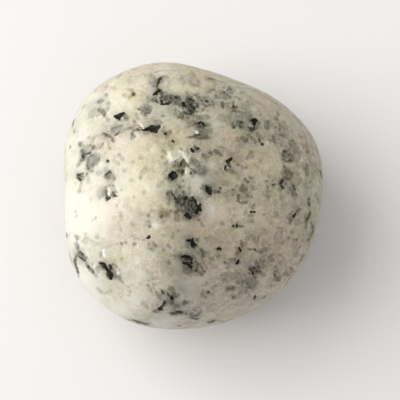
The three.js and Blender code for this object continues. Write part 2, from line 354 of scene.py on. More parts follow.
# %% Smoke
SMOKE = (
    # upper left shoulder
    (.43, -9.8, 10.5, .11, -9.65, 10.85, .09), (.43, -8.75, 10.95, .14), (.5, -8.75, 10.15, .16),
    (.62, -9.5, 9.4, .16, -9.2, 9.55, .18), (.3, -11.15, 8.8, .11, -10.85, 9.1, .11), (.43, -9.3, 8.85, .12),
    (.5, -8.9, 8.3, .1, -8.65, 8.6, .11, -8.45, 8.85, .09), (.43, -7.55, 11.9, .12, -7.25, 12.25, .12),
    (.3, -6.85, 12.45, .11), (.3, -6.15, 12.7, .11, -5.75, 12.75, .09),
    (.89, -12.05, 7.5, .15, -12.1, 7.1, .14), (.5, -12, 6.6, .12, -11.95, 6.35, .12), (.3, -11.65, 6.45, .1),
    (.77, -12.35, 4.9, .15), (.97, -12.85, 4.7, .14, -12.9, 4.2, .15), (.77, -13.05, 3.6, .14),
    (.89, -11.4, 5.25, .14, -11.35, 5.05, .14), (.43, -11.15, 5.35, .13), (.5, -11, 5, .11),
    (.5, -10.6, 5, .1), (.72, -10.35, 5.05, .11), (.37, -10.65, 4.8, .16),
    (.72, -10.1, 4.75, .14, -9.95, 5, .11), (.5, -11.2, 4.6, .11), (.5, -11.05, 4.4, .3, -11.1, 3.8, .3),
    (.5, -11.15, 3.6, .16, -11.4, 3.3, .16, -11.65, 3, .13), (.5, -10.55, 3.75, .16),
    (.37, -9.45, 3.95, .09, -9.45, 3.6, .1, -9.65, 3.25, .09), (.67, -10.6, 3.45, .1, -10.6, 2.8, .11),
    (.77, -9, 6.25, .12, -8.75, 6.15, .15),
    (.67, -8.75, 6.15, .12, -8.35, 5.95, .14, -8.1, 5.7, .16, -8.05, 5.45, .13),
    (.56, -6.05, 6.55, .11, -5.55, 6.65, .12), (.67, -5.65, 6.65, .12, -5.35, 6.6, .09),
    (.56, -5.85, 6, .12, -6.1, 5.85, .22), (.5, -7.2, 7.1, .11, -7.55, 6.95, .09, -7.95, 6.85, .08),
    (.3, -9.75, 6, .13, -9.15, 6.1, .12), (.37, -10.5, 5.85, .15), (.37, -10.05, 5.8, .14),
    (.5, -9.1, 5.3, .13), (.37, -9.1, 5.15, .09, -9.4, 4.85, .12, -9.85, 4.8, .11), (.37, -8.35, 4.75, .13),
    (.3, -7.95, 3.95, .13), (.3, -4.25, 5, .12), (.3, -5.35, 3.85, .15), (.37, -7.45, 4.1, .18),
    (.3, -6.05, 3.4, .18), (.67, -11.5, 1.95, .3, -11.15, 1.9, .25), (.67, -10.7, 2.2, .12),
    (.37, -11.25, 1.4, .13, -11.35, .9, .12, -11.4, .6, .09), (.3, -10.5, 1.8, .12, -10.55, 1.3, .11),
    (.23, -11.55, .5, .11, -10.95, .5, .09), (.23, -11.85, 1.25, .11),
    (.43, -10.4, 2.5, .11, -10.1, 2.45, .11), (.3, -12.75, 2.3, .11, -12.75, 1.6, .12),
    (.23, -10.3, -.3, .15), (.37, -11.8, -1.55, .12), (.43, -11.75, -2, .12), (.43, -9.8, -2.15, .11),
    (.3, -10.1, -2.4, .12), (.3, -13.05, -2.2, .11, -12.95, -2.8, .11), (.62, -8.75, .85, .1),
    (.5, -8.45, 1.05, .11), (.5, -8.05, 1.05, .12), (.67, -8.25, 0, .11, -7.65, -.05, .09),
    (.3, -8.05, .6, .25), (.3, -7.7, -.95, .12), (.43, -7.25, .6, .09), (.3, -5.25, 1.8, .12),
    (.43, -3.1, 1.4, .14), (.37, -7.9, 1.75, .18), (.73, -6.9, 8.1, .2, -6.6, 7.8, .18),
    (.73, -7.85, 6.1, .1, -7.4, 6.35, .12), (.73, -5.15, 8.3, .15, -4.75, 8.15, .18),
    (.53, -6.65, 6.7, .1, -6.25, 6.8, .13), (.37, -5.75, 8.2, .15, -5.55, 7.8, .15), (.32, -5.95, 7.5, .15),
    (.42, -5.15, 9.05, .1, -4.55, 9.2, .1), (.37, -9.05, 8.6, .1, -8.75, 8.85, .13), (.37, -8.2, 6.9, .15),
    (.32, -10.7, 7.9, .1, -10.25, 7.9, .1), (.63, -12.15, 7.6, .1, -12.15, 7.2, .1), (.63, -12.85, 4.3, .1),
    (.37, -10.15, 4.9, .15), (.32, -11.05, 4.4, .13), (.37, -10.25, 4.1, .09, -9.45, 4.2, .1),
    (.26, -9.05, 5.8, .15), (.26, -8.55, 5.5, .13, -8.45, 4.7, .13), (.21, -9.05, 7.2, .15),
    (.26, -5.05, 10.2, .3), (.21, -9.05, 10.6, .2), (.68, -8.8, 1.95, .18, -8.45, 1.75, .12),
    (.53, -9.9, 3.25, .18, -10.55, 2.75, .13), (.42, -9.05, .4, .2), (.53, -8.3, .2, .15),
    (.32, -9.45, -.2, .18), (.32, -7.7, .35, .12), (.32, -8.05, 3.6, .15, -7.55, 3.3, .2),
    (.32, -4.85, 2.8, .2), (.21, -5.15, 2.3, .3), (.37, -3.45, 1.1, .3), (.21, -11.55, .4, .25),
    (.32, -8.75, -.4, .12), (.75, -9.45, 8.6, .18, -9.1, 8.5, .24, -8.95, 8.2, .2),
    (.35, -8.85, 8, .18, -8.55, 7.6, .18), (.35, -8.5, 9.25, .24), (.3, -6.9, 10.1, .24),
    (.3, -6.15, 10.5, .24), (.25, -6.45, 11.55, .2), (.25, -7.95, 10.85, .2), (.4, -4.55, 9.6, .22),
    (.4, -7.45, 7.7, .15, -7.05, 7.75, .15, -6.65, 7.6, .12), (.4, -4.85, 8.45, .15, -4.55, 8.6, .15),
    (.3, -4.75, 7.85, .2), (.35, -5.9, 7.4, .13, -5.95, 6.9, .13), (.5, -5.3, 6.9, .15),
    (.75, -6.1, 6.2, .19), (.4, -4.85, 6.25, .19, -4.5, 6.35, .16), (.3, -7.05, 6.5, .2),
    (.3, -8.15, 6.6, .28), (.25, -8.75, 5.9, .26), (.25, -10.1, 5.8, .18, -10.2, 5.2, .18),
    (.25, -9.5, 5.15, .18), (.3, -11.9, 6.5, .18), (.5, -12.1, 7.4, .09), (.4, -10.95, 4.15, .18),
    (.35, -11.35, 3.45, .2), (.35, -10.7, 3.3, .12, -10.7, 2.7, .14), (.25, -11.65, 2.15, .16),
    (.35, -9.5, 2.3, .26), (.3, -8.85, 2.6, .22), (.4, -8.45, 2.2, .2), (.25, -8.2, 1.45, .17),
    (.35, -9.05, .1, .18, -8.55, .35, .16), (.5, -7.9, .35, .16), (.5, -5.35, 1.85, .17),
    (.25, -6.25, 1.6, .2), (.25, -6.95, 2.5, .22), (.25, -4.55, 2.5, .22), (.35, -4.95, .4, .23),
    (.25, -7.15, 3.7, .22),
    # upper edge
    (.67, -3.1, 11.65, .16, -3.15, 11.4, .12), (.56, -3.05, 11.95, .09, -2.55, 11.95, .1),
    (.3, -4.15, 11.4, .12, -4.45, 11.2, .11), (.85, -3.55, 10.75, .12),
    (.81, -3.2, 10.4, .16, -3.1, 10.05, .14, -2.9, 9.75, .14), (.77, -3.85, 9.8, .16, -3.75, 9.6, .15),
    (.72, -4.1, 9.6, .13), (.67, -3.15, 9.8, .25, -2.55, 9.7, .4), (.5, -2.5, 10, .15, -1.95, 9.95, .15),
    (.67, -2.15, 9.9, .2, -1.25, 9.7, .2), (.5, -2.15, 9.7, .25, -1.55, 9.5, .25, -1.35, 9.1, .2),
    (.77, -.55, 9.75, .24, -.3, 9.5, .3, -.55, 9, .34, -.15, 8.7, .3), (.56, .5, 9.85, .15),
    (.56, 2, 9.1, .12), (.5, 1.9, 9.45, .11), (.43, 1.1, 9.85, .14), (.5, 1, 8.7, .16), (.37, .6, 9.3, .15),
    (.56, -.65, 10.45, .1, -.55, 10.05, .11), (.67, .1, 10.1, .11), (.43, .3, 10.2, .11, .5, 10.2, .11),
    (.43, -1.05, 11.85, .12), (.37, -.25, 11.8, .13), (.37, .1, 12.1, .15),
    (.62, 1.6, 11.8, .11, 2.05, 11.7, .12), (.56, 1.75, 10.65, .11, 2.1, 10.65, .11),
    (.37, 1.45, 10.45, .11), (.5, 2.25, 10.1, .1), (.67, 2.85, 10.4, .12, 3.3, 10.3, .12),
    (.43, 3.05, 10.9, .12), (.67, 2.9, 9.35, .15, 2.95, 8.9, .15),
    (.62, 3.1, 10.4, .12, 3.45, 10.1, .12, 3.75, 9.85, .1), (.67, 3.55, 10.85, .12, 3.75, 10.7, .11),
    (.67, 4, 9.45, .11, 4, 9.1, .12), (.92, 4.05, 8.9, .15), (.81, 4.35, 8.9, .12),
    (.72, 4, 8.6, .11, 4.25, 8.45, .1), (.56, 3.8, 8.85, .11), (.5, 4.1, 8.8, .24),
    (.43, 4.3, 10, .08, 4.65, 9.7, .1), (.5, 5.45, 9.5, .13), (.56, 4.4, 11.4, .11, 5, 11.15, .12),
    (.5, 7.25, 10.25, .11), (.43, 7.95, 9.45, .11, 8.3, 9.25, .11), (.5, 6.75, 8.15, .13),
    (.56, 5.7, 8.15, .13), (.43, 8.4, 8.45, .15), (.5, 8.55, 8.2, .12),
    (.47, -4.25, 12.1, .22, -3.75, 11.55, .15), (.53, -3.4, 9.35, .12, -2.75, 9.35, .15),
    (.47, -3.05, 8, .2), (.37, -3.85, 7.5, .12, -3.45, 7.6, .15), (.53, -3.05, 6.5, .15, -2.65, 6.2, .22),
    (.37, -4.05, 6.2, .12, -3.65, 6, .15), (.37, -2.35, 5.1, .2, -1.65, 5.3, .2),
    (.47, -1.8, 8.65, .15, -1.45, 8.4, .2, -1.15, 8, .2), (.42, -1.35, 9.2, .15),
    (.42, -.95, 8.45, .1, -.55, 8.5, .1), (.42, -.5, 7.4, .18, -.35, 7.1, .15),
    (.42, -1.15, 7.8, .15, -.75, 7.6, .15), (.53, -.05, 8.05, .2, .7, 7.85, .25, 1.4, 7.9, .25),
    (.63, 1, 9.2, .18, 1.3, 8.95, .16), (.53, 1.2, 7.3, .13, 1.6, 7.15, .13),
    (.42, .5, 6.7, .1, .8, 6.4, .1), (.53, .9, 5.9, .15, 1.6, 5.8, .2), (.42, -.45, 10, .1, -.15, 9.7, .12),
    (.32, 1.4, 9.9, .15), (.42, 2.2, 11.4, .13, 2.1, 10.8, .15), (.32, 3.3, 9.8, .13), (.32, 2.2, 9.9, .13),
    (.42, 3.6, 11, .15, 4.05, 10.6, .2), (.37, 3.4, 9.2, .2, 3.5, 8.7, .15),
    (.37, 4.4, 8.55, .15, 4.9, 8.35, .15, 5.5, 8.3, .15), (.32, -2.95, 6.9, .15), (.21, -1.05, 11.1, .15),
    (.26, -.45, 11.45, .12, -.05, 11.6, .1), (.32, -3.25, 10.6, .15),
    (.26, -3.05, 10.9, .1, -2.55, 10.95, .13), (.37, -4.55, 9.9, .15, -4.15, 9.8, .15),
    (.45, -3.8, 11.5, .15, -3.8, 11, .15), (.4, -2.8, 10.25, .2), (.4, -3.85, 9.55, .15),
    (.6, -3.15, 9.6, .18), (.45, -2, 9.25, .18), (.45, -.15, 9.85, .15), (.5, .15, 9.05, .15),
    (.35, .7, 8.55, .2), (.3, 1.45, 8.55, .15), (.35, -.6, 8, .15), (.6, -3.65, 7.15, .15),
    (.3, .9, 5.7, .2), (.7, .15, 4.9, .18), (.45, 3.7, 10.3, .15, 4.1, 9.9, .18), (.4, 3.75, 9.4, .13),
    (.25, .35, 11.6, .2), (.25, -1.15, 12, .2), (.35, -4.35, 11.55, .18, -4.05, 11.1, .22),
    (.3, -4.8, 12.1, .2), (.45, -.7, 9.25, .15), (.55, -1.15, 8.2, .2),
    (.35, -1.85, 8.2, .2, -1.55, 7.9, .2), (.45, -3.25, 7.35, .18), (.45, -.25, 7.35, .2, -.55, 6.9, .18),
    (.4, .4, 6.8, .15, .6, 6.4, .14), (.4, .3, 5.8, .15, .7, 5.75, .15), (.45, -2.3, 6.35, .16),
    (.4, -2.65, 5.85, .19), (.3, -1.65, 5.6, .18), (.35, -1.3, 11.65, .2, -.85, 11.4, .18),
    (.35, -.25, 11.25, .21), (.3, -.1, 12.25, .25), (.35, 1.35, 11.85, .24, 1.9, 11.6, .2),
    (.3, 1.6, 10.5, .23), (.3, 2.3, 10, .23), (.35, 3.1, 9.9, .19), (.45, 3.4, 10.6, .14),
    (.4, 3.8, 8.5, .18), (.35, 4, 7, .23), (.3, .4, 9, .15), (.3, 4.4, 5.7, .28),
    # crown
    (.85, 0, 7.15, .13), (.62, .2, 7.4, .14, .4, 7.1, .2), (.67, .6, 7, .12),
    (.67, .45, 7.2, .2, .9, 6.9, .2), (.56, 1.25, 7.05, .12), (.56, -.35, 5.9, .09, .2, 6, .09),
    (.37, -.75, 5.85, .11, -.45, 5.9, .11), (.5, -2.4, 6.45, .2), (.5, -2.4, 5.45, .09),
    (.89, .15, 4.55, .14, .4, 4.5, .14), (.56, .65, 4.6, .11), (.72, -1, 3.55, .18, -.9, 3.1, .22),
    (.5, -1.5, 3.25, .15, -1.55, 3, .15), (.67, -1.85, 3.5, .12), (.77, -1.1, 2.7, .15),
    (.43, -1.75, 3.2, .2), (.56, -2.05, 3.05, .11, -1.85, 2.9, .11), (.85, -.2, 2.75, .13),
    (.62, -1.7, 2.4, .11, -1.45, 2.6, .12), (.56, -1.65, 2.5, .2, -1.05, 2.5, .25),
    (.5, -2.45, 1.5, .15, -2.25, 1.5, .15), (.56, -1.05, 1.5, .12), (.43, -1, .95, .11),
    (.67, -1.35, .9, .14), (.67, -1.7, .6, .13), (.89, -.25, 2.3, .14), (.43, .6, 2.2, .1, 1.2, 2.25, .11),
    (.56, 1.05, .9, .22, 1.2, .7, .2), (.56, .95, 1.1, .1), (.5, .8, .75, .11), (.56, 1.6, .1, .22),
    (.5, 1.9, .5, .18, 2.6, .4, .13), (.43, 2.1, .35, .09, 2.6, .35, .09), (.5, 3, 1.15, .1),
    (.81, -1.35, -.4, .5, -.55, -.7, .6, -.15, -1.3, .5), (.85, -2.55, .35, .15, -2.25, .45, .15),
    (.89, -1.6, -.65, .22), (.56, -.55, -2.3, .22), (.43, -1.55, -1.4, .15, -.95, -1.6, .15),
    (.5, -1.75, -1, .2, -1.55, -1.3, .2), (.67, -2.55, .3, .17, -2.55, 0, .14),
    (.77, 3.45, 3.2, .1, 3.2, 3, .11, 3.2, 2.75, .11, 3.35, 2.55, .11), (.5, 3.6, 2.8, .2, 3.9, 2.5, .2),
    (.5, 4.1, 3.55, .16), (.5, 4.45, 3.15, .14), (.85, 3.95, .6, .12), (.43, 4.3, 1, .12),
    (.5, 3.95, .15, .11), (.43, 3.5, .5, .13), (.43, 4.5, 1.75, .18), (.37, -2.6, 3.5, .1, -2.6, 3.3, .09),
    (.95, -1.8, 2.2, .16, -1.7, 1.9, .13), (.84, -.6, 3.15, .12, -.5, 2.95, .12),
    (.73, .05, 2.6, .18, .15, 2.35, .15), (.63, -2.25, 0, .13, -2.4, -.35, .18),
    (.53, -1.95, .3, .1, -1.45, .4, .12), (.84, -.95, .35, .18), (.42, -2.25, -1.45, .15, -1.85, -1.6, .15),
    (.37, -1.65, -1.8, .2, -1.5, -2.1, .18), (.73, -.25, -2, .12, .3, -2.05, .16, .6, -1.8, .13),
    (.53, .8, -2.7, .12, .95, -3, .13), (.84, 1.3, .4, .14), (.95, 3.55, 3.35, .13, 3.6, 3, .13),
    (.79, .3, -4.35, .15, .5, -4.25, .1), (.79, .1, -5.1, .14, .4, -5, .1), (.32, 3.35, 1.25, .22),
    (.26, 3.1, .3, .25, 3.3, 0, .25), (.42, 1.7, 1, .12), (.37, 4.7, -.1, .13, 4.7, -.4, .12),
    (.37, -2.1, -4.2, .15, -1.95, -3.8, .1), (.42, .1, 0, .15, .7, -.3, .2),
    (.47, -3.05, 4.5, .2, -2.75, 4.3, .15), (.37, 2.8, 2.7, .2, 3.1, 2.2, .15), (.21, 2.8, -2.6, .2),
    (.21, 4.1, -1.2, .2), (.53, -1.35, 2.5, .2, -.95, 2.2, .15), (.5, -.6, 4.5, .2),
    (.45, 1.6, 4.5, .18, 1.65, 4, .15), (.4, -3.05, 3.9, .22), (.35, -2.95, 2.3, .22, -2.8, 1.8, .18),
    (.8, -1.85, 1.55, .15), (.4, -.1, 3.8, .18, -.3, 3.4, .18), (.45, -.1, 2.05, .18), (.3, 2.4, 2.25, .25),
    (.4, 2.65, .7, .18), (.45, -.35, .8, .15, -.45, .3, .2), (.4, 1.35, .2, .18, 1.2, -.15, .22),
    (.5, -2.45, -.75, .2), (.5, -.95, -2.2, .15), (.8, .55, -2.35, .15), (.3, 2.9, -2.85, .2),
    (.35, 4.2, -3.15, .15), (.3, 4.4, 2.2, .18), (.45, 5.15, 1.55, .2), (.3, 4.5, -2.7, .25),
    (.45, .45, -4.55, .2), (.35, .05, -5.15, .16), (.45, -2.1, 4.7, .19), (.45, -1.25, 4.65, .15),
    (.4, -2.05, 4.25, .16, -1.5, 4.05, .16), (.35, -2.75, 3.6, .18, -2.75, 2.6, .18),
    (.35, -2.55, 2, .15, -2.55, 1.7, .15), (.8, -2.1, 2.45, .12),
    (.6, -1.35, 2.9, .13, -.95, 3.15, .15, -.7, 3.25, .12), (.4, -1.45, 2.3, .15, -1.25, 2, .13),
    (.35, -1.6, 1.1, .19, -1.25, .55, .18), (.4, -1.85, .05, .17), (.4, -1.05, .2, .15, -.65, .15, .13),
    (.3, -1.4, -1.1, .19), (.45, -1.65, -1.6, .22, -1.65, -2.25, .29), (.4, -.3, -1.75, .15, .15, -1.8, .14),
    (.35, -.45, -2.25, .14, .1, -2.35, .15), (.35, -.5, 4.2, .18), (.45, .15, 4.5, .19),
    (.35, -.05, 3.2, .17, .5, 2.95, .17), (.3, 1.05, 4.1, .19), (.45, 2.25, 4.25, .17), (.35, 1.3, 2.5, .15),
    (.5, 1.7, .95, .14), (.25, 3.1, 1.3, .28, 3.6, 1.2, .25), (.3, 3.8, -2.45, .22), (.3, 3.9, 4.15, .22),
    (.3, -3.55, -1.45, .15),
    # upper right
    (.56, 5.6, 7.7, .2, 6.3, 7.2, .3), (.62, 5.8, 6.65, .2, 6.3, 6.8, .15), (.43, 5.9, 6.4, .15),
    (.77, 4.85, 7.35, .18), (.67, 4.55, 7.55, .11), (.72, 4.7, 7, .11), (.56, 4.6, 7.3, .3, 4.8, 6.9, .2),
    (.72, 3.9, 7.35, .1, 3.95, 7.05, .09), (.56, 4.25, 7.05, .11), (.67, 8.2, 7.8, .1, 8.4, 7.7, .1),
    (.56, 6.4, 6.3, .11, 6.6, 5.8, .11), (.43, 6.9, 5.2, .24), (.56, 8.7, 6.15, .12, 9.2, 6, .14),
    (.56, 8.65, 6.6, .11), (.67, 9.05, 4.5, .18, 8.95, 4.1, .18, 9.1, 3.75, .14),
    (.67, 9.2, 4.4, .25, 9.45, 4, .21), (.72, 9.3, 3.5, .12, 9.8, 3.5, .16),
    (.56, 9.8, 4.1, .3, 9.85, 3.7, .24), (.62, 11.45, 4.35, .15), (.37, 11.7, 4.1, .11, 11.7, 3.5, .11),
    (.43, 11.95, 4.15, .11), (.37, 10.6, 4.4, .11, 10.65, 3.8, .09),
    (.5, 9.95, 8.05, .12, 10.4, 7.6, .13, 10.75, 7.15, .12),
    (.67, 9.1, 3, .12, 9.3, 2.7, .14, 9.5, 2.5, .14), (.5, 8.7, 4.3, .12), (.26, 5, 8.9, .2, 5.7, 9.1, .15),
    (.63, 5.9, 5.8, .15, 6.2, 5.45, .2), (.42, 5.7, 4.4, .2), (.42, 7.55, 7.45, .18),
    (.42, 8.65, 7.25, .1, 8.7, 6.8, .1), (.47, 9.95, 5.65, .12, 10.3, 5.3, .12),
    (.42, 8.9, 5.15, .12, 9.3, 4.95, .12), (.47, 9.5, 4.65, .15), (.42, 10.2, 4.1, .1, 10.25, 3.6, .12),
    (.32, 7.6, 3.9, .12), (.26, 5.8, 7, .12), (.26, 5, 10.4, .3), (.21, 8, 6, .15, 8.3, 5.2, .15),
    (.21, 7.6, 5.6, .12), (.21, 8.9, 6.4, .12), (.21, 10.9, 4.8, .15), (.4, 5.4, 7.95, .19, 5.9, 7.9, .15),
    (.3, 5.85, 6.95, .17), (.25, 5, 7.25, .18), (.25, 4.9, 9.3, .18, 6, 9.3, .2), (.5, 5.5, 6.05, .2),
    (.35, 5.35, 5.5, .18), (.3, 6.6, 6, .15, 6.9, 5.8, .17), (.45, 7.8, 5.55, .17),
    (.3, 8.75, 7.3, .17, 8.85, 6.8, .19), (.25, 9.15, 6.3, .17), (.25, 8.35, 5.9, .13),
    (.25, 9.9, 6.45, .17), (.35, 10.65, 6.2, .15, 10.9, 5.8, .19),
    (.35, 10.95, 5, .17, 11.4, 5.2, .19, 11.5, 4.6, .19), (.35, 9.7, 5.1, .17, 9.75, 4.6, .17),
    (.6, 8.95, 3.75, .18), (.4, 10.45, 3.5, .18), (.45, 5.4, 3.8, .2, 5.9, 4.2, .28), (.3, 6.7, 3.5, .18),
    # right
    (.67, 8.75, .55, .09), (.67, 9.1, 1.85, .14, 9.55, 1.7, .14), (.56, 9.1, 1.4, .15, 9.3, 1, .15),
    (.56, 9.4, 2.3, .3), (.56, 9.6, 2.7, .12, 9.7, 2.1, .11), (.77, 10, 1.15, .12, 10.15, .7, .14),
    (.89, 11.55, -.3, .12, 11.6, -.9, .13), (.43, 11.3, 1.35, .12), (.5, 11.75, 1.45, .11),
    (.43, 11.5, .85, .13), (.5, 12.45, -.3, .12, 12.6, -.75, .11), (.77, 12.75, 2.35, .12, 12.8, 2, .13),
    (.43, 13.05, -.4, .09, 13, -1.5, .1, 12.9, -2, .1), (.72, 10.65, -1.3, .11, 10.35, -1.55, .12),
    (.62, 10, -2.1, .18, 9.8, -2.5, .14, 9.65, -2.75, .11),
    (.85, 11.7, -1.7, .1, 11.65, -2, .11, 11.45, -2.35, .11, 11.3, -2.65, .11),
    (.5, 11.7, -1.5, .11, 11.5, -2.2, .15), (.56, 11.85, -2.7, .11),
    (.77, 11.95, -3, .12, 12, -3.4, .12, 11.85, -3.85, .14), (.67, 11.55, -4.35, .14),
    (.56, 11.3, -2.8, .11, 11.3, -3.2, .11), (.77, 10.35, -4.4, .12), (.5, 10.05, -4.45, .1),
    (.5, 10.9, -4.45, .12), (.56, 9.8, -3.6, .14), (.5, 8.85, -3.25, .13),
    (.43, 8.85, -3.6, .09, 8.85, -4.2, .09), (.43, 9.5, -4.15, .11), (.3, 10.35, -5.45, .1),
    (.56, 8.75, -5.9, .12), (.43, 11.05, -6, .2, 10.8, -6.4, .16), (.72, 5.45, 1.4, .15),
    (.56, 5.2, 1.7, .13), (.56, 5.65, 1.85, .11, 5.9, 1.75, .12), (.62, 6.1, -.85, .11, 6, -1.25, .12),
    (.37, 5.2, -1.65, .15), (.37, 5.65, -2, .18, 5.9, -2.5, .22), (.5, 7.3, 1.5, .12, 7.5, 1.5, .11),
    (.43, 7.95, 1.55, .09), (.5, 7.45, .85, .14), (.5, 7.4, 0, .22, 7.55, -.3, .12), (.43, 7.05, -1.9, .13),
    (.37, 7.7, -2.7, .15), (.3, 8.3, -1.6, .2), (.37, 4.05, -1.9, .11), (.32, 6.1, 3.15, .1, 6.4, 2.9, .1),
    (.42, 8.85, 2.25, .13), (.63, 9.7, 2, .15, 10, 2.3, .13), (.32, 10.3, 2.3, .1, 10.6, 1.9, .1),
    (.37, 7.65, 2, .2), (.21, 7, 2.1, .15), (.37, 8.3, 1.2, .13, 7.9, .85, .13), (.37, 7.4, .5, .16),
    (.32, 6.05, 1, .1, 6.1, .6, .1), (.37, 5.3, 1, .15), (.37, 5.05, .4, .15), (.32, 11.2, 1, .2),
    (.32, 11.2, .25, .18), (.26, 10.5, -1, .12), (.37, 9.9, .25, .12, 10.5, 0, .12),
    (.73, 12.75, 2.5, .08, 12.9, 1.8, .08), (.42, 12.6, 3.6, .08, 12.65, 3, .08),
    (.42, 9.7, -1.8, .12, 10, -1.5, .1, 10.4, -1.6, .1), (.32, 9.5, -2.2, .12), (.32, 5.95, -1.9, .15),
    (.26, 5.5, -2.65, .15), (.37, 10.9, -2.7, .13), (.37, 11.35, -2.55, .12),
    (.42, 11.5, -3.9, .1, 11.85, -4.1, .1), (.32, 9, -4.7, .18, 9.6, -4.2, .18), (.21, 5.2, -1.2, .15),
    (.21, 7.9, -2.7, .15), (.21, 8.9, -.9, .15), (.63, 8.65, 1.2, .14), (.37, 9.9, .8, .25, 10.1, .2, .2),
    (.25, 5.1, .3, .22), (.35, 5.9, -1, .16), (.25, 6.9, 2.5, .2), (.5, 9.1, 2.8, .12, 9.05, 2.25, .16),
    (.35, 9.8, 1.8, .2, 9.85, 1.3, .18), (.4, 10.45, 1.2, .18), (.4, 11.15, 2.7, .2), (.5, 8.65, .75, .14),
    (.25, 7.9, 1.2, .17), (.35, 9.55, .4, .15), (.35, 9.9, 0, .12, 10.3, -.2, .12), (.3, 7.8, .05, .18),
    (.25, 8.8, -.5, .17), (.3, 8.15, -.75, .22), (.25, 9.25, -.9, .17), (.4, 8.4, -2, .2),
    (.35, 10.45, -1.9, .18), (.35, 9.5, -2.1, .15, 9.7, -2.4, .18), (.4, 11.2, -1.8, .17, 11.3, -2.5, .18),
    (.3, 11.6, -1.15, .14), (.6, 12.75, 2.5, .1, 12.85, 1.9, .11), (.25, 6.9, -3.3, .18),
    (.25, 8.5, -3.2, .18), (.9, 12.7, 2.5, .14, 12.8, 1.9, .14), (.3, 5.3, 2.8, .16), (.35, 5.9, -.1, .17),
    (.3, 8.9, -.1, .23), (.25, 10.7, 1.6, .2), (.25, 12.4, 0, .28), (.35, 9, 3.4, .17),
    # lower left
    (.92, -12.7, -3.95, .18), (.37, -12.6, -4.25, .08), (.67, -11.75, -4.1, .12, -11.65, -4.3, .12),
    (.5, -10.9, -4.3, .12), (.3, -11.15, -4.55, .15, -10.75, -4.65, .16),
    (.72, -11.65, -4.9, .13, -11.55, -5.2, .12), (.37, -11.8, -4.75, .2, -11.65, -5.2, .2),
    (.67, -11.6, -5.9, .12), (.67, -11.15, -6.05, .15, -10.8, -6.2, .16),
    (.81, -11.75, -6, .1, -11.85, -6.5, .11, -11.8, -6.9, .1),
    (.85, -11.8, -6.9, .11, -11.65, -7.25, .12, -11.6, -7.6, .14),
    (.67, -11.55, -7.7, .12, -11.55, -8.05, .1),
    (.37, -12.45, -5.8, .09, -12.25, -6.3, .1, -11.95, -6.7, .11), (.3, -11.5, -6.75, .1),
    (.12, -11.2, -6.7, .09), (.81, -10.45, -7.25, .12, -10.1, -7.6, .14),
    (.5, -10.1, -7.6, .14, -9.75, -8.05, .11), (.56, -10.75, -6.75, .1, -10.55, -7, .11),
    (.16, -11.15, -5.4, .12, -10.85, -5.25, .12), (.37, -10.15, -6.85, .13),
    (.67, -8.25, -7.4, .25, -7.95, -7.7, .25), (.72, -7.85, -8.15, .11, -7.4, -8.15, .1),
    (.43, -7.95, -7.9, .22, -7.55, -8.3, .2), (.43, -7.35, -8.3, .11, -7.1, -8.7, .12),
    (.5, -7.75, -7.05, .18), (.77, -7.2, -4.75, .12), (.5, -6.8, -4.65, .12),
    (.56, -6, -4.8, .12, -5.85, -4.75, .12), (.37, -5.95, -4.3, .11), (.37, -6.2, -4, .13),
    (.43, -5, -4.35, .11), (.77, -4.35, -3.1, .12), (.37, -4.6, -2.95, .12), (.67, -3.8, -5, .17),
    (.5, -4, -4.75, .14), (.43, -4.45, -4.85, .15), (.3, -4.2, -5.35, .15), (.43, -6.5, -9.1, .1),
    (.43, -6.35, -9.6, .13), (.5, -6.5, -9.95, .1), (.67, -4.55, -8.95, .13), (.5, -4, -8.9, .13),
    (.43, -4.2, -9.3, .12, -3.9, -9.3, .11), (.56, -3.7, -9.7, .17, -3.55, -9.95, .17, -3.35, -10.35, .12),
    (.77, -4.05, -11.55, .08, -3.75, -11.6, .1), (.56, -2.65, -10.4, .1, -2.5, -10.7, .11),
    (.43, -4.1, -10.9, .08, -4.1, -11.15, .08), (.37, -4.15, -11.95, .15),
    # these strokes on the lower edge are smoke, deepened by painted shade where the edge turns under
    (.5, -6.95, -12.35, .1, -6.35, -12.45, .11, -5.95, -12.45, .12),
    (.85, -4.95, -12.8, .15, -4.5, -12.85, .14),
    (.95, -5.65, -12.7, .17, -5.35, -13, .17, -5.15, -13.05, .15),
    (.85, -4.75, -12.95, .15, -4.2, -13.2, .13), (.3, -6, -.1, .13),
    (.37, -4.45, -2.5, .2, -4.75, -2.7, .15), (.21, -5.55, -1.7, .15, -4.95, -1.8, .15),
    (.21, -7.55, -2.6, .15, -7.25, -3.5, .15), (.21, -7.95, -2.2, .2), (.37, -5.65, -4.3, .14),
    (.32, -10.85, -3.8, .18), (.32, -11.85, -4, .18), (.26, -10.35, -4.4, .13, -9.75, -4.8, .2),
    (.32, -7.65, -4.8, .15), (.21, -8.45, -5, .25), (.21, -6.05, -3, .15), (.32, -4.55, -5.2, .2),
    (.95, -9.4, -6.7, .12, -9, -7.1, .15), (.95, -8.65, -7.8, .14, -8.55, -8.15, .13),
    (.63, -8.35, -7, .1, -8, -6.85, .13), (.47, -8, -8.35, .12), (.37, -7.45, -7.4, .13, -7.4, -7.8, .12),
    (.58, -10.7, -7.05, .1, -10.2, -7.35, .12), (.63, -11.55, -5.6, .12, -11.25, -5.85, .14),
    (.84, -12, -6.4, .1, -11.8, -7.1, .13, -11.6, -7.6, .1), (.42, -9.6, -9.3, .13, -9.25, -9.65, .13),
    (.26, -8.95, -9.8, .12, -8.25, -9.5, .12), (.26, -9.65, -7.2, .25), (.32, -9.55, -7.6, .15),
    # the first stroke here, on the lower edge, is smoke deepened by painted shade
    (.95, -5.55, -12.7, .1, -5.05, -12.8, .15), (.42, -5.05, -10.75, .18, -4.65, -11.1, .18),
    (.37, -4.05, -8.3, .15), (.32, -4.45, -9.2, .12, -4.05, -9.9, .15), (.6, -4.5, -1.95, .2),
    (.3, -4.15, -1.5, .2), (.35, -4.35, -2.8, .16), (.25, -6.25, -1.5, .18), (.25, -6.25, -2.8, .17),
    (.35, -7.3, -1.7, .15, -7.25, -2.3, .15), (.25, -5.95, -4, .23), (.35, -11.55, -4.15, .2),
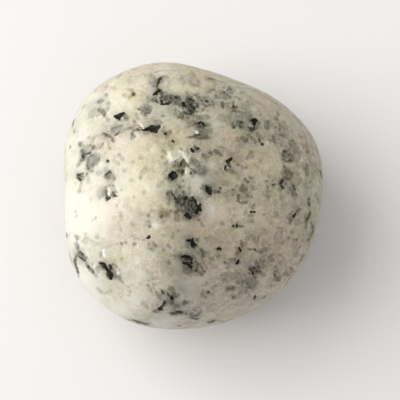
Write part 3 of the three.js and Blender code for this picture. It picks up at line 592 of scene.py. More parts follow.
    (.25, -10.65, -4.2, .2), (.3, -9.65, -4.1, .23), (.25, -9.35, -4.7, .18), (.4, -12.5, -3.9, .1),
    # lower middle
    (.43, -.35, -4.7, .3), (.37, -.65, -5, .25), (.77, -.75, -6.4, .22, -.35, -6.6, .2),
    (.62, -.75, -7.2, .3, -.25, -7.5, .3), (.5, -.95, -7.6, .15), (.5, -1.75, -6, .18, -1.25, -6, .15),
    (.67, .7, -6.9, .13, .9, -7.3, .13), (.56, .05, -6.05, .12), (.5, .2, -6.6, .14),
    (.62, .7, -5.3, .11, .95, -5.55, .13, 1, -5.95, .13), (.5, .5, -5.7, .16),
    (.37, 1, -6.1, .11, .8, -6.5, .09), (.43, 2.55, -5.35, .26), (.56, 3.2, -6.65, .13),
    (.77, -2.15, -10.3, .22, -2.15, -10.75, .18), (.67, -1.9, -10.1, .16, -1.7, -10.15, .11),
    (.56, -2.4, -9.2, .11, -2.5, -9.5, .11), (.77, -2.5, -9.95, .11),
    (.56, -.85, -10.6, .14, -.55, -10.55, .11), (.77, -.7, -11.8, .12),
    (.5, -2.3, -11.7, .18, -.95, -11.65, .22), (.62, -1.5, -11.05, .12),
    (.5, -1.75, -11, .18, -1.45, -11.1, .15), (.67, -.2, -11.8, .13),
    (.72, -.25, -12.05, .12, -.05, -12.25, .12), (.62, .2, -11.95, .11, .5, -11.9, .12),
    (.67, .55, -11.75, .11), (.5, .4, -11.5, .1), (.5, .45, -11.2, .11),
    (.56, .75, -11.4, .11, .8, -11.7, .11), (.43, .25, -12.1, .2), (.89, -1.4, -13, .15),
    (.99, 1.7, -12.65, .17, 1.9, -12.6, .15), (.85, 1.55, -12.65, .18, 2, -12.55, .18),
    (.43, 2, -12.45, .12, 2.9, -12.5, .14), (.77, 3, -12.7, .17, 3.5, -12.55, .16, 4, -12.4, .14),
    (.5, 2.5, -11.9, .15), (.81, 1.5, -9.6, .12), (.67, .9, -10, .13), (.5, 1, -10, .09, 1.3, -10.2, .1),
    (.5, 1.95, -9.25, .11), (.43, 2.2, -9, .13), (.37, 2, -9.85, .11), (.37, 1.45, -8.75, .11),
    (.56, 3, -8.4, .15), (.3, 3.9, -3.05, .16, 4.95, -3.05, .12), (.56, 4, -2.8, .08),
    (.43, 4.35, -2.75, .09), (.62, 4.8, -4.55, .12, 4.9, -5.05, .12), (.56, 4.55, -6.7, .2),
    (.5, 3.6, -6.35, .13, 4.15, -6.35, .13), (.5, 3.2, -6.7, .15), (.43, 3.8, -6.65, .09),
    (.5, 5.45, -5.3, .11, 5.7, -5.35, .08), (.56, 5.7, -5.35, .07, 6.1, -5.35, .08), (.37, 3.5, -9.25, .16),
    (.5, 3.95, -9.25, .16, 3.95, -9.05, .11), (.3, 3.4, -9.3, .18, 4.2, -9.25, .12), (.67, 4, -10.15, .18),
    (.43, 3.4, -9.35, .13, 4, -9.2, .13), (.47, -2.55, -4.9, .15, -2.35, -5.2, .13), (.32, -1.85, -5.5, .15),
    (.32, -1.85, -6.3, .18), (.53, -2.45, -6.7, .2), (.37, -1.15, -5.1, .18),
    (.42, -.15, -6, .12, .1, -6.25, .12), (.73, -.15, -6.75, .12, -.05, -7.05, .12),
    (.84, .2, -7.45, .13, .7, -7.6, .15), (.47, -.75, -7.7, .12, -.25, -8, .15),
    (.47, 1.1, -6.8, .13, 1.3, -7.2, .13), (.37, 1.2, -5.6, .15, 1.5, -6, .15), (.32, 2.2, -5.4, .12),
    (.53, 2.8, -8, .13, 3.15, -7.8, .13), (.42, 3.4, -7.2, .18, 3.6, -6.7, .15),
    (.42, 3.25, -8.3, .12, 3.4, -8.7, .15), (.37, 4.35, -5.8, .12, 4.2, -6.4, .12),
    (.42, 4.3, -7.6, .13, 4.6, -7.85, .1), (.37, 5.1, -7.9, .15), (.37, 4.6, -9.7, .15, 4.4, -10.2, .15),
    (.53, 1, -9.6, .15, 1.6, -9.75, .2), (.26, 2.1, -10.4, .18), (.32, 2.4, -9, .15),
    (.53, -1.95, -10, .15, -1.55, -9.9, .2), (.32, -.75, -10.1, .13),
    (.47, -1.15, -10.85, .15, -.55, -10.75, .15), (.53, -3.05, -11.05, .13, -2.8, -10.75, .1),
    (.42, -3.65, -10.95, .15, -3.55, -10.7, .12), (.63, -3.75, -11.5, .13, -3.35, -11.35, .13),
    (.53, -2.35, -11.8, .13, -1.95, -11.95, .15, -1.25, -11.8, .1), (.73, -.25, -12.3, .12, .3, -12.4, .15),
    (.37, -.75, -12.8, .2, -.35, -12.6, .15), (.42, -3.15, -9.9, .15, -2.85, -9.5, .12),
    (.32, -3.65, -7.6, .15), (.35, -4.1, -5.35, .22), (.3, -2.2, -5.95, .18), (.7, -1.15, -6.3, .15),
    (.7, -.5, -6.45, .17), (.35, .85, -5.5, .13, .8, -6.1, .15), (.45, .2, -6.6, .15, .5, -7, .16),
    (.35, -.1, -6.9, .15), (.45, .2, -7.85, .2, .8, -7.85, .2), (.3, .8, -9.8, .18), (.25, 1.9, -9.9, .2),
    (.3, -1.8, -10.15, .18), (.3, -.2, -10.65, .18), (.35, -2.9, -10.95, .18), (.5, -1.9, -11.3, .16),
    (.4, -3.4, -11.55, .18), (.3, .2, -11.5, .18), (.25, -2.85, -9.8, .18), (.5, .45, -12.35, .16),
    (.35, 1.7, -12.6, .15), (.3, 2.4, -5.9, .22), (.25, 2.9, -8.1, .2), (.35, 4.2, -6.65, .2),
    (.3, 4, -9.45, .2), (.3, 4.8, -8.95, .18),
    # lower right
    (.72, 5.8, -7.2, .22, 6.3, -7.4, .24, 6.55, -7.25, .2), (.67, 6, -7.9, .15, 6.2, -8.2, .15),
    (.67, 6.2, -7.5, .15, 6.7, -7.55, .12), (.5, 5.6, -7.75, .14), (.43, 6.8, -7.7, .13, 7.1, -8, .12),
    (.56, 6.35, -6.6, .18, 6.5, -7, .18), (.5, 7.1, -6.5, .16), (.67, 8.2, -7.65, .18, 8.15, -7.9, .15),
    (.56, 8.4, -8.35, .2), (.43, 8.3, -7.1, .16), (.62, 4.95, -8.6, .18),
    (.56, 5.3, -9.15, .12, 5.6, -9.15, .11), (.56, 5.3, -9.6, .2), (.5, 5.55, -9.95, .1),
    (.5, 7.15, -10.15, .13), (.5, 6.5, -11.35, .14, 6.9, -11.05, .11), (.37, 7.8, -9, .15),
    (.62, 9.85, -7.3, .16), (.43, 10, -7.5, .11, 10.2, -7.6, .08), (.56, 9.2, -7.85, .18, 9.5, -7.9, .15),
    (.37, 10.3, -6.8, .11), (.47, 6.7, -6.35, .12, 7, -7.1, .2), (.32, 6.8, -5.7, .2),
    (.37, 6.05, -7.7, .1, 6.5, -7.75, .12), (.53, 8.1, -8.4, .14), (.37, 8.45, -7.4, .1, 8.65, -8.05, .13),
    (.37, 9.6, -8.3, .15, 9.2, -9, .12), (.26, 6.4, -9.2, .15, 5.8, -9.4, .13), (.32, 4.8, -9.7, .2),
    (.21, 5.9, -10.2, .15), (.21, 9, -6.2, .15), (.21, 9.5, -5.9, .15), (.21, 8.1, -5.8, .15),
)
print(len(SMOKE), "strokes of smoke")

# %% [markdown]
# Round the clusters the shadows run together into washes, which are broad and faint, with very
# soft edges.

# %% Washes
WASHES = (
    # upper left shoulder
    (.35, -7.55, 7.2, .5, -6.55, 6.8, .4), (.3, -10.95, 4.6, .4, -10.15, 3.6, .5),
    (.25, -8.55, 2.4, .4, -8.45, 0, .4), (.3, -10.15, 9, .6, -9.05, 9.6, .5),
    (.2, -11.75, 2.6, .5, -10.95, 2, .4),
    # upper edge
    (.45, -3.55, 11.6, .3, -3.65, 10.4, .4), (.5, -3.35, 10.2, .5, -1.75, 9.8, .5, .3, 9.6, .6),
    (.45, -.35, 9, .7, -.55, 8.4, .5), (.3, 1.1, 9.8, .4, 1.9, 9.2, .4), (.35, .5, 7.2, .6, 1.3, 6.6, .5),
    (.25, -4.15, 7, .8, -5.35, 6.6, .4),
    # crown
    (.35, -1.55, 3.6, .6, -1.75, 2.4, .6), (.35, .3, 3.6, .6, 1.1, 2.4, .6),
    (.6, -1.55, -.4, .6, -.55, -.8, .8, .3, -1, .6), (.4, -.75, -1.6, .6, -1.35, -.2, .5),
    (.3, 1.3, .8, .6, 2.3, .6, .4), (.32, -.95, 9.2, .7, .1, 9.1, .5), (.21, .3, 2.8, .6),
    # upper right
    (.4, 3.9, 7.8, .6, 5.1, 7.2, .7), (.35, 6.3, 7.4, .6, 5.7, 6.4, .5), (.25, 4.5, .6, .6, 5.3, 0, .5),
    (.2, 6.9, 4.6, .6),
    # right
    (.25, 9.1, 1.4, .5, 9.5, 0, .5), (.2, 9.9, 2.6, .5),
    # lower left
    (.3, -11.55, -5.8, .5, -10.95, -6.6, .4), (.35, -8.95, -7, .4, -8.15, -7.8, .4),
    # lower middle
    (.45, -.35, -4.4, .4, -.15, -5.4, .4), (.55, -.95, -6.2, .6, -.15, -6.8, .6),
    (.45, -2.75, -10.2, .6, -1.55, -11, .5), (.3, -.75, -11.6, .5, .3, -12, .4),
    (.25, -3.55, -5, .6, -2.55, -7.4, .6),
    # lower right
    (.25, 5.3, -6.6, .6, 6.1, -7.4, .6), (.25, 4.5, -8.8, .6, 5.9, -8.8, .6),
)
print(len(WASHES), "washes")

# %% [markdown]
# A few small grains hold iron, and have rusted brown where damp got into them.

# %% Brown specks
BROWN_SPECKS = (
    # upper left shoulder
    (.97, -6, 10.2, .2), (.5, -6.45, 9.85, .11, -6.15, 10.05, .12), (.37, -6.5, 10.7, .12, -6.15, 10.5, .16),
    (.56, -8.6, 3.5, .22), (.5, -8.65, -.25, .24),
    # upper edge
    (.81, 1.6, 9.15, .12), (.67, 1.35, 9.5, .16), (.43, 1, 8.7, .18), (.77, -1.45, 7.9, .13),
    (.72, -1.1, 7.8, .15), (.77, -.65, 7.85, .11, -.45, 7.75, .12), (.67, -.1, 7.6, .12, 0, 7.5, .11),
    (.56, 2.95, 9.15, .2), (.67, 4.05, 8.9, .18),
    # crown
    (.92, -3.2, -2.05, .19), (.43, -3.35, -1.7, .2, -2.75, -1.8, .3), (.37, -3.05, -2.6, .25),
    (.56, 1.2, -4.2, .12), (.43, 1.55, -4.1, .12), (.43, 1.4, -4.4, .11), (.43, 4.9, 2.85, .13),
    (.43, 5.3, 2.8, .12), (.3, 6, 3.9, .12), (.3, -1.55, -3.5, .15),
    (.37, -3.05, -1.55, .3, -2.55, -1.65, .3), (.32, -3.3, -2, .12, -2.95, -2.1, .14),
    # right
    (.37, 7.15, -3.35, .13), (.43, 8.3, -3.8, .09, 8.15, -4.3, .09),
    # lower left
    (.5, -9.25, -5.65, .12, -9.3, -6, .12), (.43, -7.2, -6.3, .14), (.37, -3.05, -5.45, .15),
    # lower middle
    (.77, .45, -6.8, .12), (.97, .35, -7.25, .18), (.97, 1.05, -7.55, .15), (.72, .8, -7.85, .16),
    (.77, 1.75, -6.25, .12), (.56, 2, -6.4, .11), (.43, 2.05, -6.1, .09),
    (.62, 2.35, -6.1, .1, 2.55, -6, .11), (.43, 1.55, -5.7, .11), (.72, -2.1, -9.3, .24, -2, -9.8, .24),
    (.97, -1, -10.75, .14, -.85, -10.6, .15), (.72, 4.5, -5.6, .18, 4.35, -5.75, .15),
    (.43, 4.35, -5.15, .18), (.43, 6.5, -4.25, .14), (.37, 6.1, -4.45, .11), (.43, 5.25, -4.7, .12),
    # lower right
    (.67, 5.45, -8.8, .14),
)
print(len(BROWN_SPECKS), "brown specks")

# %% [markdown]
# Quartz is the glassy grey part of the rock. Its grains have straight sides where they grew
# against each other, and a thin pale line round them.

# %% Quartz grains
QUARTZ = (
    # upper left shoulder
    (.42, -10.35, 8.3, .3, -9.85, 8.4, .42, -9.35, 8.4, .36, -9.05, 8.45, .26), (.42, -10.05, 8, .2),
    (.6, -10.15, 3.8, .32, -9.7, 3.75, .34), (.6, -10.25, 3.3, .36, -10.3, 2.8, .32),
    (.6, -10.5, 2.65, .16, -10.15, 2.5, .13), (.54, -8.1, 6.7, .26, -7.75, 6.6, .38, -7.45, 6.8, .24),
    (.36, -8.75, 6.55, .12, -8.25, 6.3, .16, -7.9, 6.05, .14), (.6, -8.5, 2.1, .26, -8.05, 1.95, .32),
    (.42, -8.6, 1.7, .16, -8.6, 1.3, .13), (.34, -9.05, .8, .34, -9.45, .25, .36, -9.05, .1, .3),
    # upper edge
    (.84, -5.55, 8.7, .1, -5.2, 8.75, .24, -4.65, 8.65, .36, -4.3, 8.8, .26),
    (.85, -4.8, 8.35, .14, -4.45, 8.4, .14), (.42, .1, 11.1, .2, .5, 11.15, .26, .5, 11.45, .2),
    (.38, 2.7, 10, .35, 3.3, 9.9, .4), (.6, 3.5, 10.6, .2, 3.85, 10.35, .2),
    # crown
    (.6, -.4, 5.9, .1, .1, 5.95, .18, .6, 5.9, .26, 1.1, 6, .4, 1.3, 5.7, .2),
    (.42, 1, 6.5, .3, 1.4, 6.5, .3), (.36, 1.85, 6.7, .15, 1.85, 6.4, .12),
    (.6, 1.1, 4.05, .3, 1.3, 3.8, .3), (.72, 1.65, 4.35, .22, 1.8, 4.25, .22),
    (.72, 2.15, 4.6, .1, 2.4, 4.4, .2, 2.85, 4, .15), (.54, 2.8, 4.95, .1, 3.1, 4.75, .1),
    (.6, 1.3, 3.4, .12), (.5, .1, 3.55, .27, .45, 3.4, .27), (.3, .8, 3.35, .12),
    (.66, .05, 2.3, .14, .4, 2.35, .24, 1, 2.5, .32), (.66, .5, 2.8, .27, 1, 2.85, .33),
    (.36, 3.7, 2.45, .25, 4.3, 2.3, .2),
    # upper right
    (.5, 7.3, 7.4, .28, 7.4, 6.9, .28), (.42, 6.65, 7.35, .16), (.48, 8.3, 6.9, .16),
    (.84, 4.9, 5.85, .2, 5.2, 5.55, .32, 5.4, 5.7, .2), (.74, 5.8, 5.9, .18),
    (.48, 8.05, 5.95, .18, 8.1, 5.45, .18), (.36, 8.55, 5.7, .15),
    (.46, 9.8, 5.4, .26, 10.1, 5, .34, 10.3, 4.5, .3), (.36, 9.1, 7.4, .25, 9.2, 6.9, .35),
    (.54, 11.35, 3.1, .2, 11.4, 2.6, .2, 11.4, 2.1, .15), (.3, 11.95, 2.8, .2),
    # right
    (.48, 10, .8, .3, 10.15, .2, .28), (.36, 9.6, .9, .15, 9.7, .6, .15),
    (.75, 4.9, 1.05, .26, 4.85, .7, .32, 5.25, .65, .28),
    (.78, 4.55, .05, .19, 4.45, -.25, .22, 4.6, -.6, .16), (.6, 4.8, -.7, .18, 5.2, -.6, .2),
    (.6, 5.45, .05, .21), (.36, 5.85, 1, .22, 5.9, .6, .18), (.3, 5.8, .05, .16, 5.85, -.25, .14),
    # lower left
    (.5, -9.6, -7.2, .26, -9.3, -7.25, .3), (.6, -8.95, -7.35, .24),
    # lower middle
    (.25, 5.4, -4.3, .25, 6, -4.1, .3), (.4, 3.5, -7.9, .4, 4, -8, .4),
    # lower right
    (.5, 6.6, -5.55, .3, 7, -5.4, .26, 7.25, -5.35, .2), (.45, 7.7, -6.1, .26, 7.95, -6.4, .24),
    (.3, 8, -5.7, .15), (.5, 8.2, -8.05, .22, 8.55, -8.3, .24),
    (.45, 5.5, -8.5, .45, 6, -8.6, .5, 5.9, -9.1, .35), (.4, 4.5, -8.7, .25),
)
print(len(QUARTZ), "quartz grains")

# %% [markdown]
# Where a grain was knocked out in the drum, a pit is left. The stone is white along its broken
# edge, because the fresh break scatters all light. The brightest chips are also painted glints:
# painted highlights where the broken facets catch the window's light.

# %% Chips
# pale broken edges, many of them painted glints of highlight
CHIPS_AND_GLINTS = (
    # upper left shoulder
    (.42, -8.8, 8.1, .05, -8.4, 8.6, .05, -8.25, 8.95, .05), (.51, -11.05, 8.55, .07),
    (.26, -9.6, 9.75, .06), (.42, -7.1, 7.75, .1), (.68, -7.95, 7.7, .08),
    (.26, -7.75, 7.45, .05, -7.15, 7.2, .05, -6.75, 7.1, .05), (.51, -5.55, 7.4, .05, -5.35, 7.25, .06),
    (.81, -5.35, 7.25, .06, -5.15, 7, .1, -4.95, 6.8, .08), (.34, -10.5, 4.05, .07), (.51, -10.9, 2.15, .1),
    (.81, -8.55, .85, .07, -8.45, .6, .06, -8.5, .15, .1), (.26, -8.15, .85, .05),
    # upper edge
    (.59, -3.5, 10.1, .08), (.3, -3.6, 9.8, .08), (.17, -2.95, 9.4, .08),
    (.26, -1.15, 9.85, .1, -1.1, 9.7, .08), (.38, .1, 9.9, .1), (.38, -1.2, 8.6, .07),
    # crown
    (.56, .15, 6.45, .14, .35, 6.4, .11), (.17, -.05, 6.65, .1, -.05, 6.3, .1),
    (.42, -2.55, 4.4, .13, -2.35, 4, .16, -2.15, 3.55, .09),
    (.26, -1.95, 4.25, .13, -1.55, 4.2, .1, -1.25, 4.35, .09),
    (.42, -2, 3.6, .1, -1.55, 3.9, .1, -1.25, 4.15, .1),
    (.58, -1.4, 4.6, .09, -1.1, 4.3, .12, -.9, 3.9, .1, -.6, 3.45, .1), (.34, -1.75, 3.95, .11),
    (.68, -.65, 2.75, .07), (.68, -.75, 2.5, .07, -.8, 2.2, .08), (.42, -.15, 2.9, .08), (.3, .45, -.7, .1),
    (.38, 3.4, 2.85, .07), (.21, 3.95, .45, .05), (.1, 3.6, 2, .06, 4.1, 1.5, .06, 4.6, 1.2, .05),
    # upper right
    (.3, 5.65, 7.1, .09, 5.9, 7, .07), (.26, 5.7, 7.35, .06),
    (.3, 7.2, 5.7, .06, 7.5, 5.3, .08, 7.8, 5, .06), (.34, 10.8, 5, .05, 11, 4.5, .05),
    (.26, 10.3, 6.3, .05, 10.7, 5.7, .06, 11, 5.4, .05), (.21, 10.9, 4.1, .08, 10.9, 3.5, .08),
    # right
    (.21, 9.3, 1.2, .06, 9.3, .7, .05), (.21, 8.95, .55, .05), (.26, 5.55, -1.3, .06),
    # lower left
    (.59, -9.95, -7.05, .14), (.59, -11.5, -7.1, .11), (.68, -9.05, -5.35, .09, -8.95, -6.05, .12),
    (.51, -7.55, -7.7, .15), (.42, -5.6, -4.9, .07, -5.6, -5.2, .07), (.34, -4.25, -3.25, .08),
    (.26, -3.9, -11.4, .07),
    # lower middle
    (.3, 1.85, -6, .08), (.3, 2.25, -6.15, .07), (.34, 2.3, -6.75, .07), (.26, 2.8, -7.1, .12),
    (.34, 4.4, -4.85, .1), (.26, 4, -8.85, .13),
    # lower right
    (.26, 5.95, -10.05, .08),
)
print(len(CHIPS_AND_GLINTS), "chips")

# %% [markdown]
# The ground is not one colour. It is creamy to the left, greyer to the right where there is more
# quartz, bluish white round the clusters of crystals, and stained a little by iron. Some of it is
# painted light: the cream and pale clouds on the left flank brighten the side that faces the
# window, with its painted highlight, and the broad dim clouds are painted shade on the crown and
# to the right. These changes have no edges, so each is a round cloud: its strength, its place and
# its radius.

# %% Clouds
CLOUDS = {"cream": (
    # cream: the rock's cream, and partly painted light on the left flank that faces the window
    (.9, -10.5, -.4, 6.2), (.7, -8.7, 7.8, 4.6), (.6, -4.5, 11.6, 3.6), (.6, -6.3, -8.4, 4.2),
    (.5, -4.1, -12.4, 3.6), (.3, -.3, 10.8, 3.2),
), "grey": (
    (.9, 9.7, 3.6, 4), (.8, 7.7, -5.4, 4.5), (.6, 5.65, -.4, 3.5), (.6, 3.65, 8.6, 4), (.5, 1.7, -8.4, 3.5),
    (.4, -.3, 10.6, 2.5), (.3, .7, 3.6, 2.5),
), "pale": (
    # pale: pale spots, and painted light: the big ones on the left flank paint its highlight
    (.6, -12.1, -.4, 2.2), (.55, -11.3, -2.7, 2.6), (.35, -11.8, -4.4, 2), (.4, -9.3, -1.6, 2),
    (.65, -10.7, -9.2, 1.5), (.5, -9.5, -10.6, 1.1), (.6, -7.9, -11.6, 1.1), (.6, -12.6, 4.8, 1.2),
    (.35, -12.3, 7.6, 1), (.35, -5.7, -6.6, 1), (.5, -11.5, -7.9, .9), (.35, -6.7, 4.4, 1.1),
    (.35, -6.1, 2, 1.2), (.35, -6.1, .2, 1), (.35, -8.5, 9.6, .9), (.35, -10.3, 9.8, .9),
    (.3, -11.1, 5.8, .7), (.3, 7.2, 4.6, .8), (.25, 10.45, 7, .8), (.2, -5.3, 11.2, .9),
    (.2, -1.5, 11.1, .8), (.25, 3.9, 10.1, .6), (.2, 6.9, -2.6, .9), (.25, 2.9, -7.2, .6),
    (.15, 9.2, -3.2, 1.2), (.35, -4.3, .6, 1), (.3, -6.1, -10.2, 1), (.75, -2.5, 3.95, .3),
    (.6, -2.15, 4.3, .3), (.5, -2.7, 3.6, .22), (.35, -1.8, 4.1, .25), (.4, -.9, 4, .2),
    (.3, -9.7, 9.4, 1.4), (.3, -7.3, 10.4, 1), (.18, -11.7, 3.6, 1.2), (.2, -10.1, 6.2, .9),
    (.2, -8.1, 3.6, 1), (.15, -7.5, 0, .9), (.16, -4.1, 1.2, .8), (.22, -10.9, -7.4, 1.2),
    (.22, -7.5, -11.4, 1.2), (.15, -9.5, -9.4, 1), (.12, -5.9, -11.6, .8), (.12, 5.65, -6.6, .8),
    (.1, 6.9, -8.2, .8), (.3, -11.3, 8.4, 1), (.25, -12.1, 6, .9), (.25, -12.4, 3, .8), (.2, -12.3, .8, .8),
    (.35, -10.9, -8.4, .9), (.3, -9.3, -10.4, 1), (.25, -7.1, -11.7, .8), (.35, -2.9, -13.1, .8),
    (.15, -9.3, 1.8, .9), (.12, -7.1, .6, .8), (.44, -2.6, 3.8, .2), (.44, -2.4, 3.45, .2),
    (.28, -.9, 4.2, .3), (.28, -.6, 3.8, .25), (.22, 3.1, 2.8, .2), (.17, 1.25, 1.8, .4), (.14, .7, 1.1, .4),
    (.11, 2.1, -1.6, .5), (.11, 3.65, -2.9, .3), (.32, -2.9, 12.9, .6), (.28, -2.3, 10.1, .3),
    (.28, -2.4, 9.7, .25), (.28, -1.2, 10.2, .3), (.28, -.6, 9.75, .25), (.33, -.7, 8.9, .2),
    (.28, -.2, 8.8, .25), (.19, .4, 9.4, .2), (.17, .9, 10.2, .2), (.17, -.1, 10.9, .25),
    (.3, 2.25, 7.4, .35), (.28, 2.15, 6.7, .35), (.17, 2, 8.1, .25), (.19, -1.7, 7.4, .4),
    (.19, -.5, 6.3, .35), (.19, -.8, 5.1, .25), (.41, -3.8, 4.9, .5), (.36, -4.1, 8.9, .3),
    (.45, -3.3, 7, .2), (.36, -4, 7, .2), (.28, 3.9, 9, .22), (.17, 4.4, 7.4, .2), (.19, 5.3, 9.8, .35),
    (.14, 2.9, 9.2, .2), (.14, 4.95, 4.9, .4), (.17, 1.2, 12.4, .3), (.19, 3.1, 10.4, .2),
    (.28, 2, -7.8, .4), (.25, -.9, -8.7, .4), (.22, -.5, -9.5, .35), (.33, 5.15, -6.6, .45),
    (.22, 4.8, -7, .3), (.28, 3.8, -9, .22), (.28, 4.15, -8.9, .22), (.22, 3.3, -9.35, .2),
    (.17, .3, -10.4, .35), (.17, 2.25, -11.1, .35), (.33, -.9, -11.5, .2), (.36, -2.8, -10.1, .3),
    (.19, -2.4, -9.8, .2), (.19, .15, -11.75, .25), (.27, -3.8, -5.9, .4), (.5, -2.8, -12.5, .5),
    (.45, -3.8, -12.8, .5), (.19, -.3, -7.4, .2), (.17, 3.3, -5.6, .25), (.14, 3.8, -6.1, .25),
    (.14, 2.25, -6.7, .2), (.54, -7, 9.5, .4), (.5, -7.4, 8.7, .4), (.41, -8.1, 11.4, .3),
    (.68, -5.65, 6.1, .3), (.32, -5.2, 5.4, .4), (.45, -4.1, 4.6, .4), (.32, -10.8, 6.9, .4),
    (.32, -8.9, 5.3, .25), (.36, -5.1, 7.2, .2), (.36, -6.9, 7.2, .25), (.63, -11.7, 2.8, .5),
    (.45, -10.3, 3.8, .22), (.45, -8.4, 3.6, .2), (.45, -8.4, 2.9, .22), (.32, -6.9, 3.1, .25),
    (.41, -7.2, 2.3, .25), (.36, -9, 1.3, .25), (.32, -8.3, .8, .3), (.32, -7.6, .9, .3),
    (.32, -9.9, 1.6, .4), (.54, -7.7, -.05, .2), (.32, -8.8, -3.2, .5), (.27, -6.2, -1.8, .4),
    (.27, -5.1, -1.2, .4), (.32, -5.3, -4.7, .25), (.32, -11.5, -4.8, .2), (.27, -4.6, -2.1, .2),
    (.18, -4.8, .9, .4), (.27, -5, 4.3, .3), (.68, -11.55, -6.8, .2), (.63, -11.3, -7.2, .22),
    (.41, -10.7, -6, .25), (.36, -8.7, -6, .3), (.32, -7.95, -5.9, .25), (.54, -7.6, -6.95, .2),
    (.54, -7.8, -7.8, .2), (.36, -6.9, -5.4, .4), (.41, -5.3, -7.9, .4), (.36, -5.6, -8.5, .35),
    (.27, -6.5, -7.1, .25), (.5, -10.1, -9.7, .4), (.45, -9.6, -10.2, .35), (.32, -6.8, -11.7, .4),
    (.27, -5.7, -10.9, .25), (.33, 8.95, 4.55, .22), (.14, 10.05, 6.4, .3), (.19, 11.95, 3.8, .3),
    (.14, 7.2, 7.4, .2), (.17, 6.1, 7.8, .25), (.14, 8.05, 8.3, .3), (.17, 6.9, 5.3, .2),
    (.11, 9.05, 7.1, .3), (.25, 5.3, 2.4, .25), (.22, 5.8, 2.3, .25), (.3, 9.4, -.25, .3),
    (.19, 9.95, -.6, .25), (.28, 10.95, 2.2, .2), (.22, 11.05, 1.7, .2), (.19, 12.4, 2, .2),
    (.19, 12.55, 1.2, .2), (.14, 7.7, -.9, .25), (.14, 6.8, -.6, .25), (.14, 10.7, .8, .2),
    (.14, 7.2, 1.4, .25), (.19, 7.3, -5, .25), (.22, 8.05, -5.2, .3), (.17, 8.55, 1.8, .2),
    (.14, 9.95, .9, .2), (.11, 4.65, -3.6, .3), (.11, 7.45, 3.1, .25), (.28, 4.9, -6.9, .25),
    (.19, 5.9, -7.1, .25), (.22, 6.1, -8.2, .2), (.19, 5.9, -5.2, .25), (.28, 10.1, -6.2, .2),
    (.25, 10.45, -5.4, .2), (.17, 8.2, -9.3, .3), (.11, 6.9, -10.2, .2), (.17, 8.05, -7.6, .2),
    (.6, -2.3, 9.8, .25), (.4, -.7, 9.85, .2), (.6, .5, 9.45, .23), (.35, .7, 10.15, .2),
    (.35, -.5, 8.9, .23), (.4, -3.3, 7, .18), (.4, 0, 6.5, .18), (.5, -3.15, 5.55, .3),
    (.3, 3.15, 10.35, .2), (.3, 2.25, 7.2, .35), (.3, 2.6, 5.4, .25), (.35, 4, 4.7, .3), (.3, 1, 11.1, .3),
    (.4, .95, 3.15, .25), (.4, 1.35, 2.05, .2), (.3, 2, 3.3, .3), (.4, -2.9, .05, .25),
    (.35, .25, -.65, .18), (.3, 1.05, -.8, .3), (.4, -3.7, -3.1, .4), (.3, -2.25, -2.85, .3),
    (.3, -1.1, -2.85, .3), (.3, 4.8, -4.1, .4), (.3, -3.8, -4.75, .3), (.3, -.05, -4.8, .18),
    (.3, .4, -4.25, .18), (.4, 1.2, -5, .3), (.35, -.7, -5.8, .2), (.4, -.6, -8.8, .5), (.4, .4, -7.45, .2),
    (.3, -.45, -7.6, .2), (.35, 1.25, -9.6, .25), (.4, 4.1, -9, .23), (.35, -2.4, -10.1, .25),
    (.3, -1.8, -10.8, .25), (.5, -.9, -11.5, .22), (.25, -.7, -10.6, .25), (.3, 2.1, -6.65, .25),
    (.25, -1.7, -6.9, .4), (.25, -2.8, -7.8, .3), (.3, -3.8, -9.5, .3), (.25, -3.4, -12.2, .4),
    (.25, -2, -12.5, .4), (.25, 3.6, -6.7, .2), (.25, 4.6, -9.6, .2), (.6, -9.3, 3.05, .3),
    (.3, -10.05, 3.05, .2), (.3, -10.95, 2.05, .16), (.3, -10.3, 1.8, .25), (.25, -10.3, 1.1, .25),
    (.5, -11.3, .55, .22), (.35, -8.6, -.2, .22), (.6, -7.7, -.05, .2), (.25, -8.8, 1.1, .25),
    (.4, -7.1, 1.55, .28), (.3, -6, 2.7, .2), (.35, -4.4, 3.1, .22), (.25, -5.7, 1.4, .25),
    (.25, -7.2, .3, .3), (.25, -6, -.8, .22), (.3, -5.6, -1.7, .22), (.3, -6.7, -1.8, .25),
    (.5, -3.9, -2.9, .3), (.25, -4.45, -4.05, .2), (.25, -8.8, -3.4, .4), (.25, -7.8, -3.6, .25),
    (.3, -8.7, -4.15, .2), (.25, -9.9, -4.6, .2), (.45, 4.6, 2.7, .22), (.3, 5.3, 2.5, .3), (.3, 7.4, 3, .3),
    (.35, 9.2, 3.1, .16), (.5, 9.05, .75, .16), (.5, 11, 1.9, .2), (.35, 9.95, .9, .16),
    (.35, 10.05, .3, .16), (.25, 10.8, .3, .3), (.35, 6.1, -.1, .32), (.25, 6.15, -.8, .3),
    (.3, 6.1, -1.55, .2), (.35, 9.4, -.3, .28), (.3, 7.6, -1.3, .3), (.25, 7.4, -2, .3), (.3, 8.95, -3, .25),
    (.3, 4.65, -1.85, .4), (.25, 5.6, -3.3, .3), (.25, 11.7, -1.7, .2), (.3, 12.55, 1.3, .25),
    (.35, 12.2, 4.5, .3), (.25, 9.9, 3.1, .25), (.35, -9.55, 9.3, .2), (.5, -6.4, 9, .32),
    (.3, -7.8, 9.3, .35), (.4, -8.1, 8, .22), (.35, -7.3, 8.3, .3), (.4, -9.2, 6.8, .18),
    (.45, -9, 6.4, .18), (.3, -7.4, 5.4, .35), (.4, -5.8, 5.8, .18), (.3, -5.2, 8.85, .18),
    (.45, -4.9, 8.3, .2), (.6, -4.8, 7, .2), (.3, -4, 6.5, .18), (.3, -4.1, 10.2, .3), (.35, -4.3, 12.1, .2),
    (.25, -7.7, 11.5, .25), (.4, -10.8, 4.8, .22), (.25, -11.2, 6.85, .4), (.25, -8.1, 7.3, .16),
    (.25, -7.4, 6.9, .18), (.4, 6.1, 8.7, .3), (.4, 6.3, 7.7, .25), (.5, 7.9, 6.5, .25), (.6, 6.9, 5.1, .2),
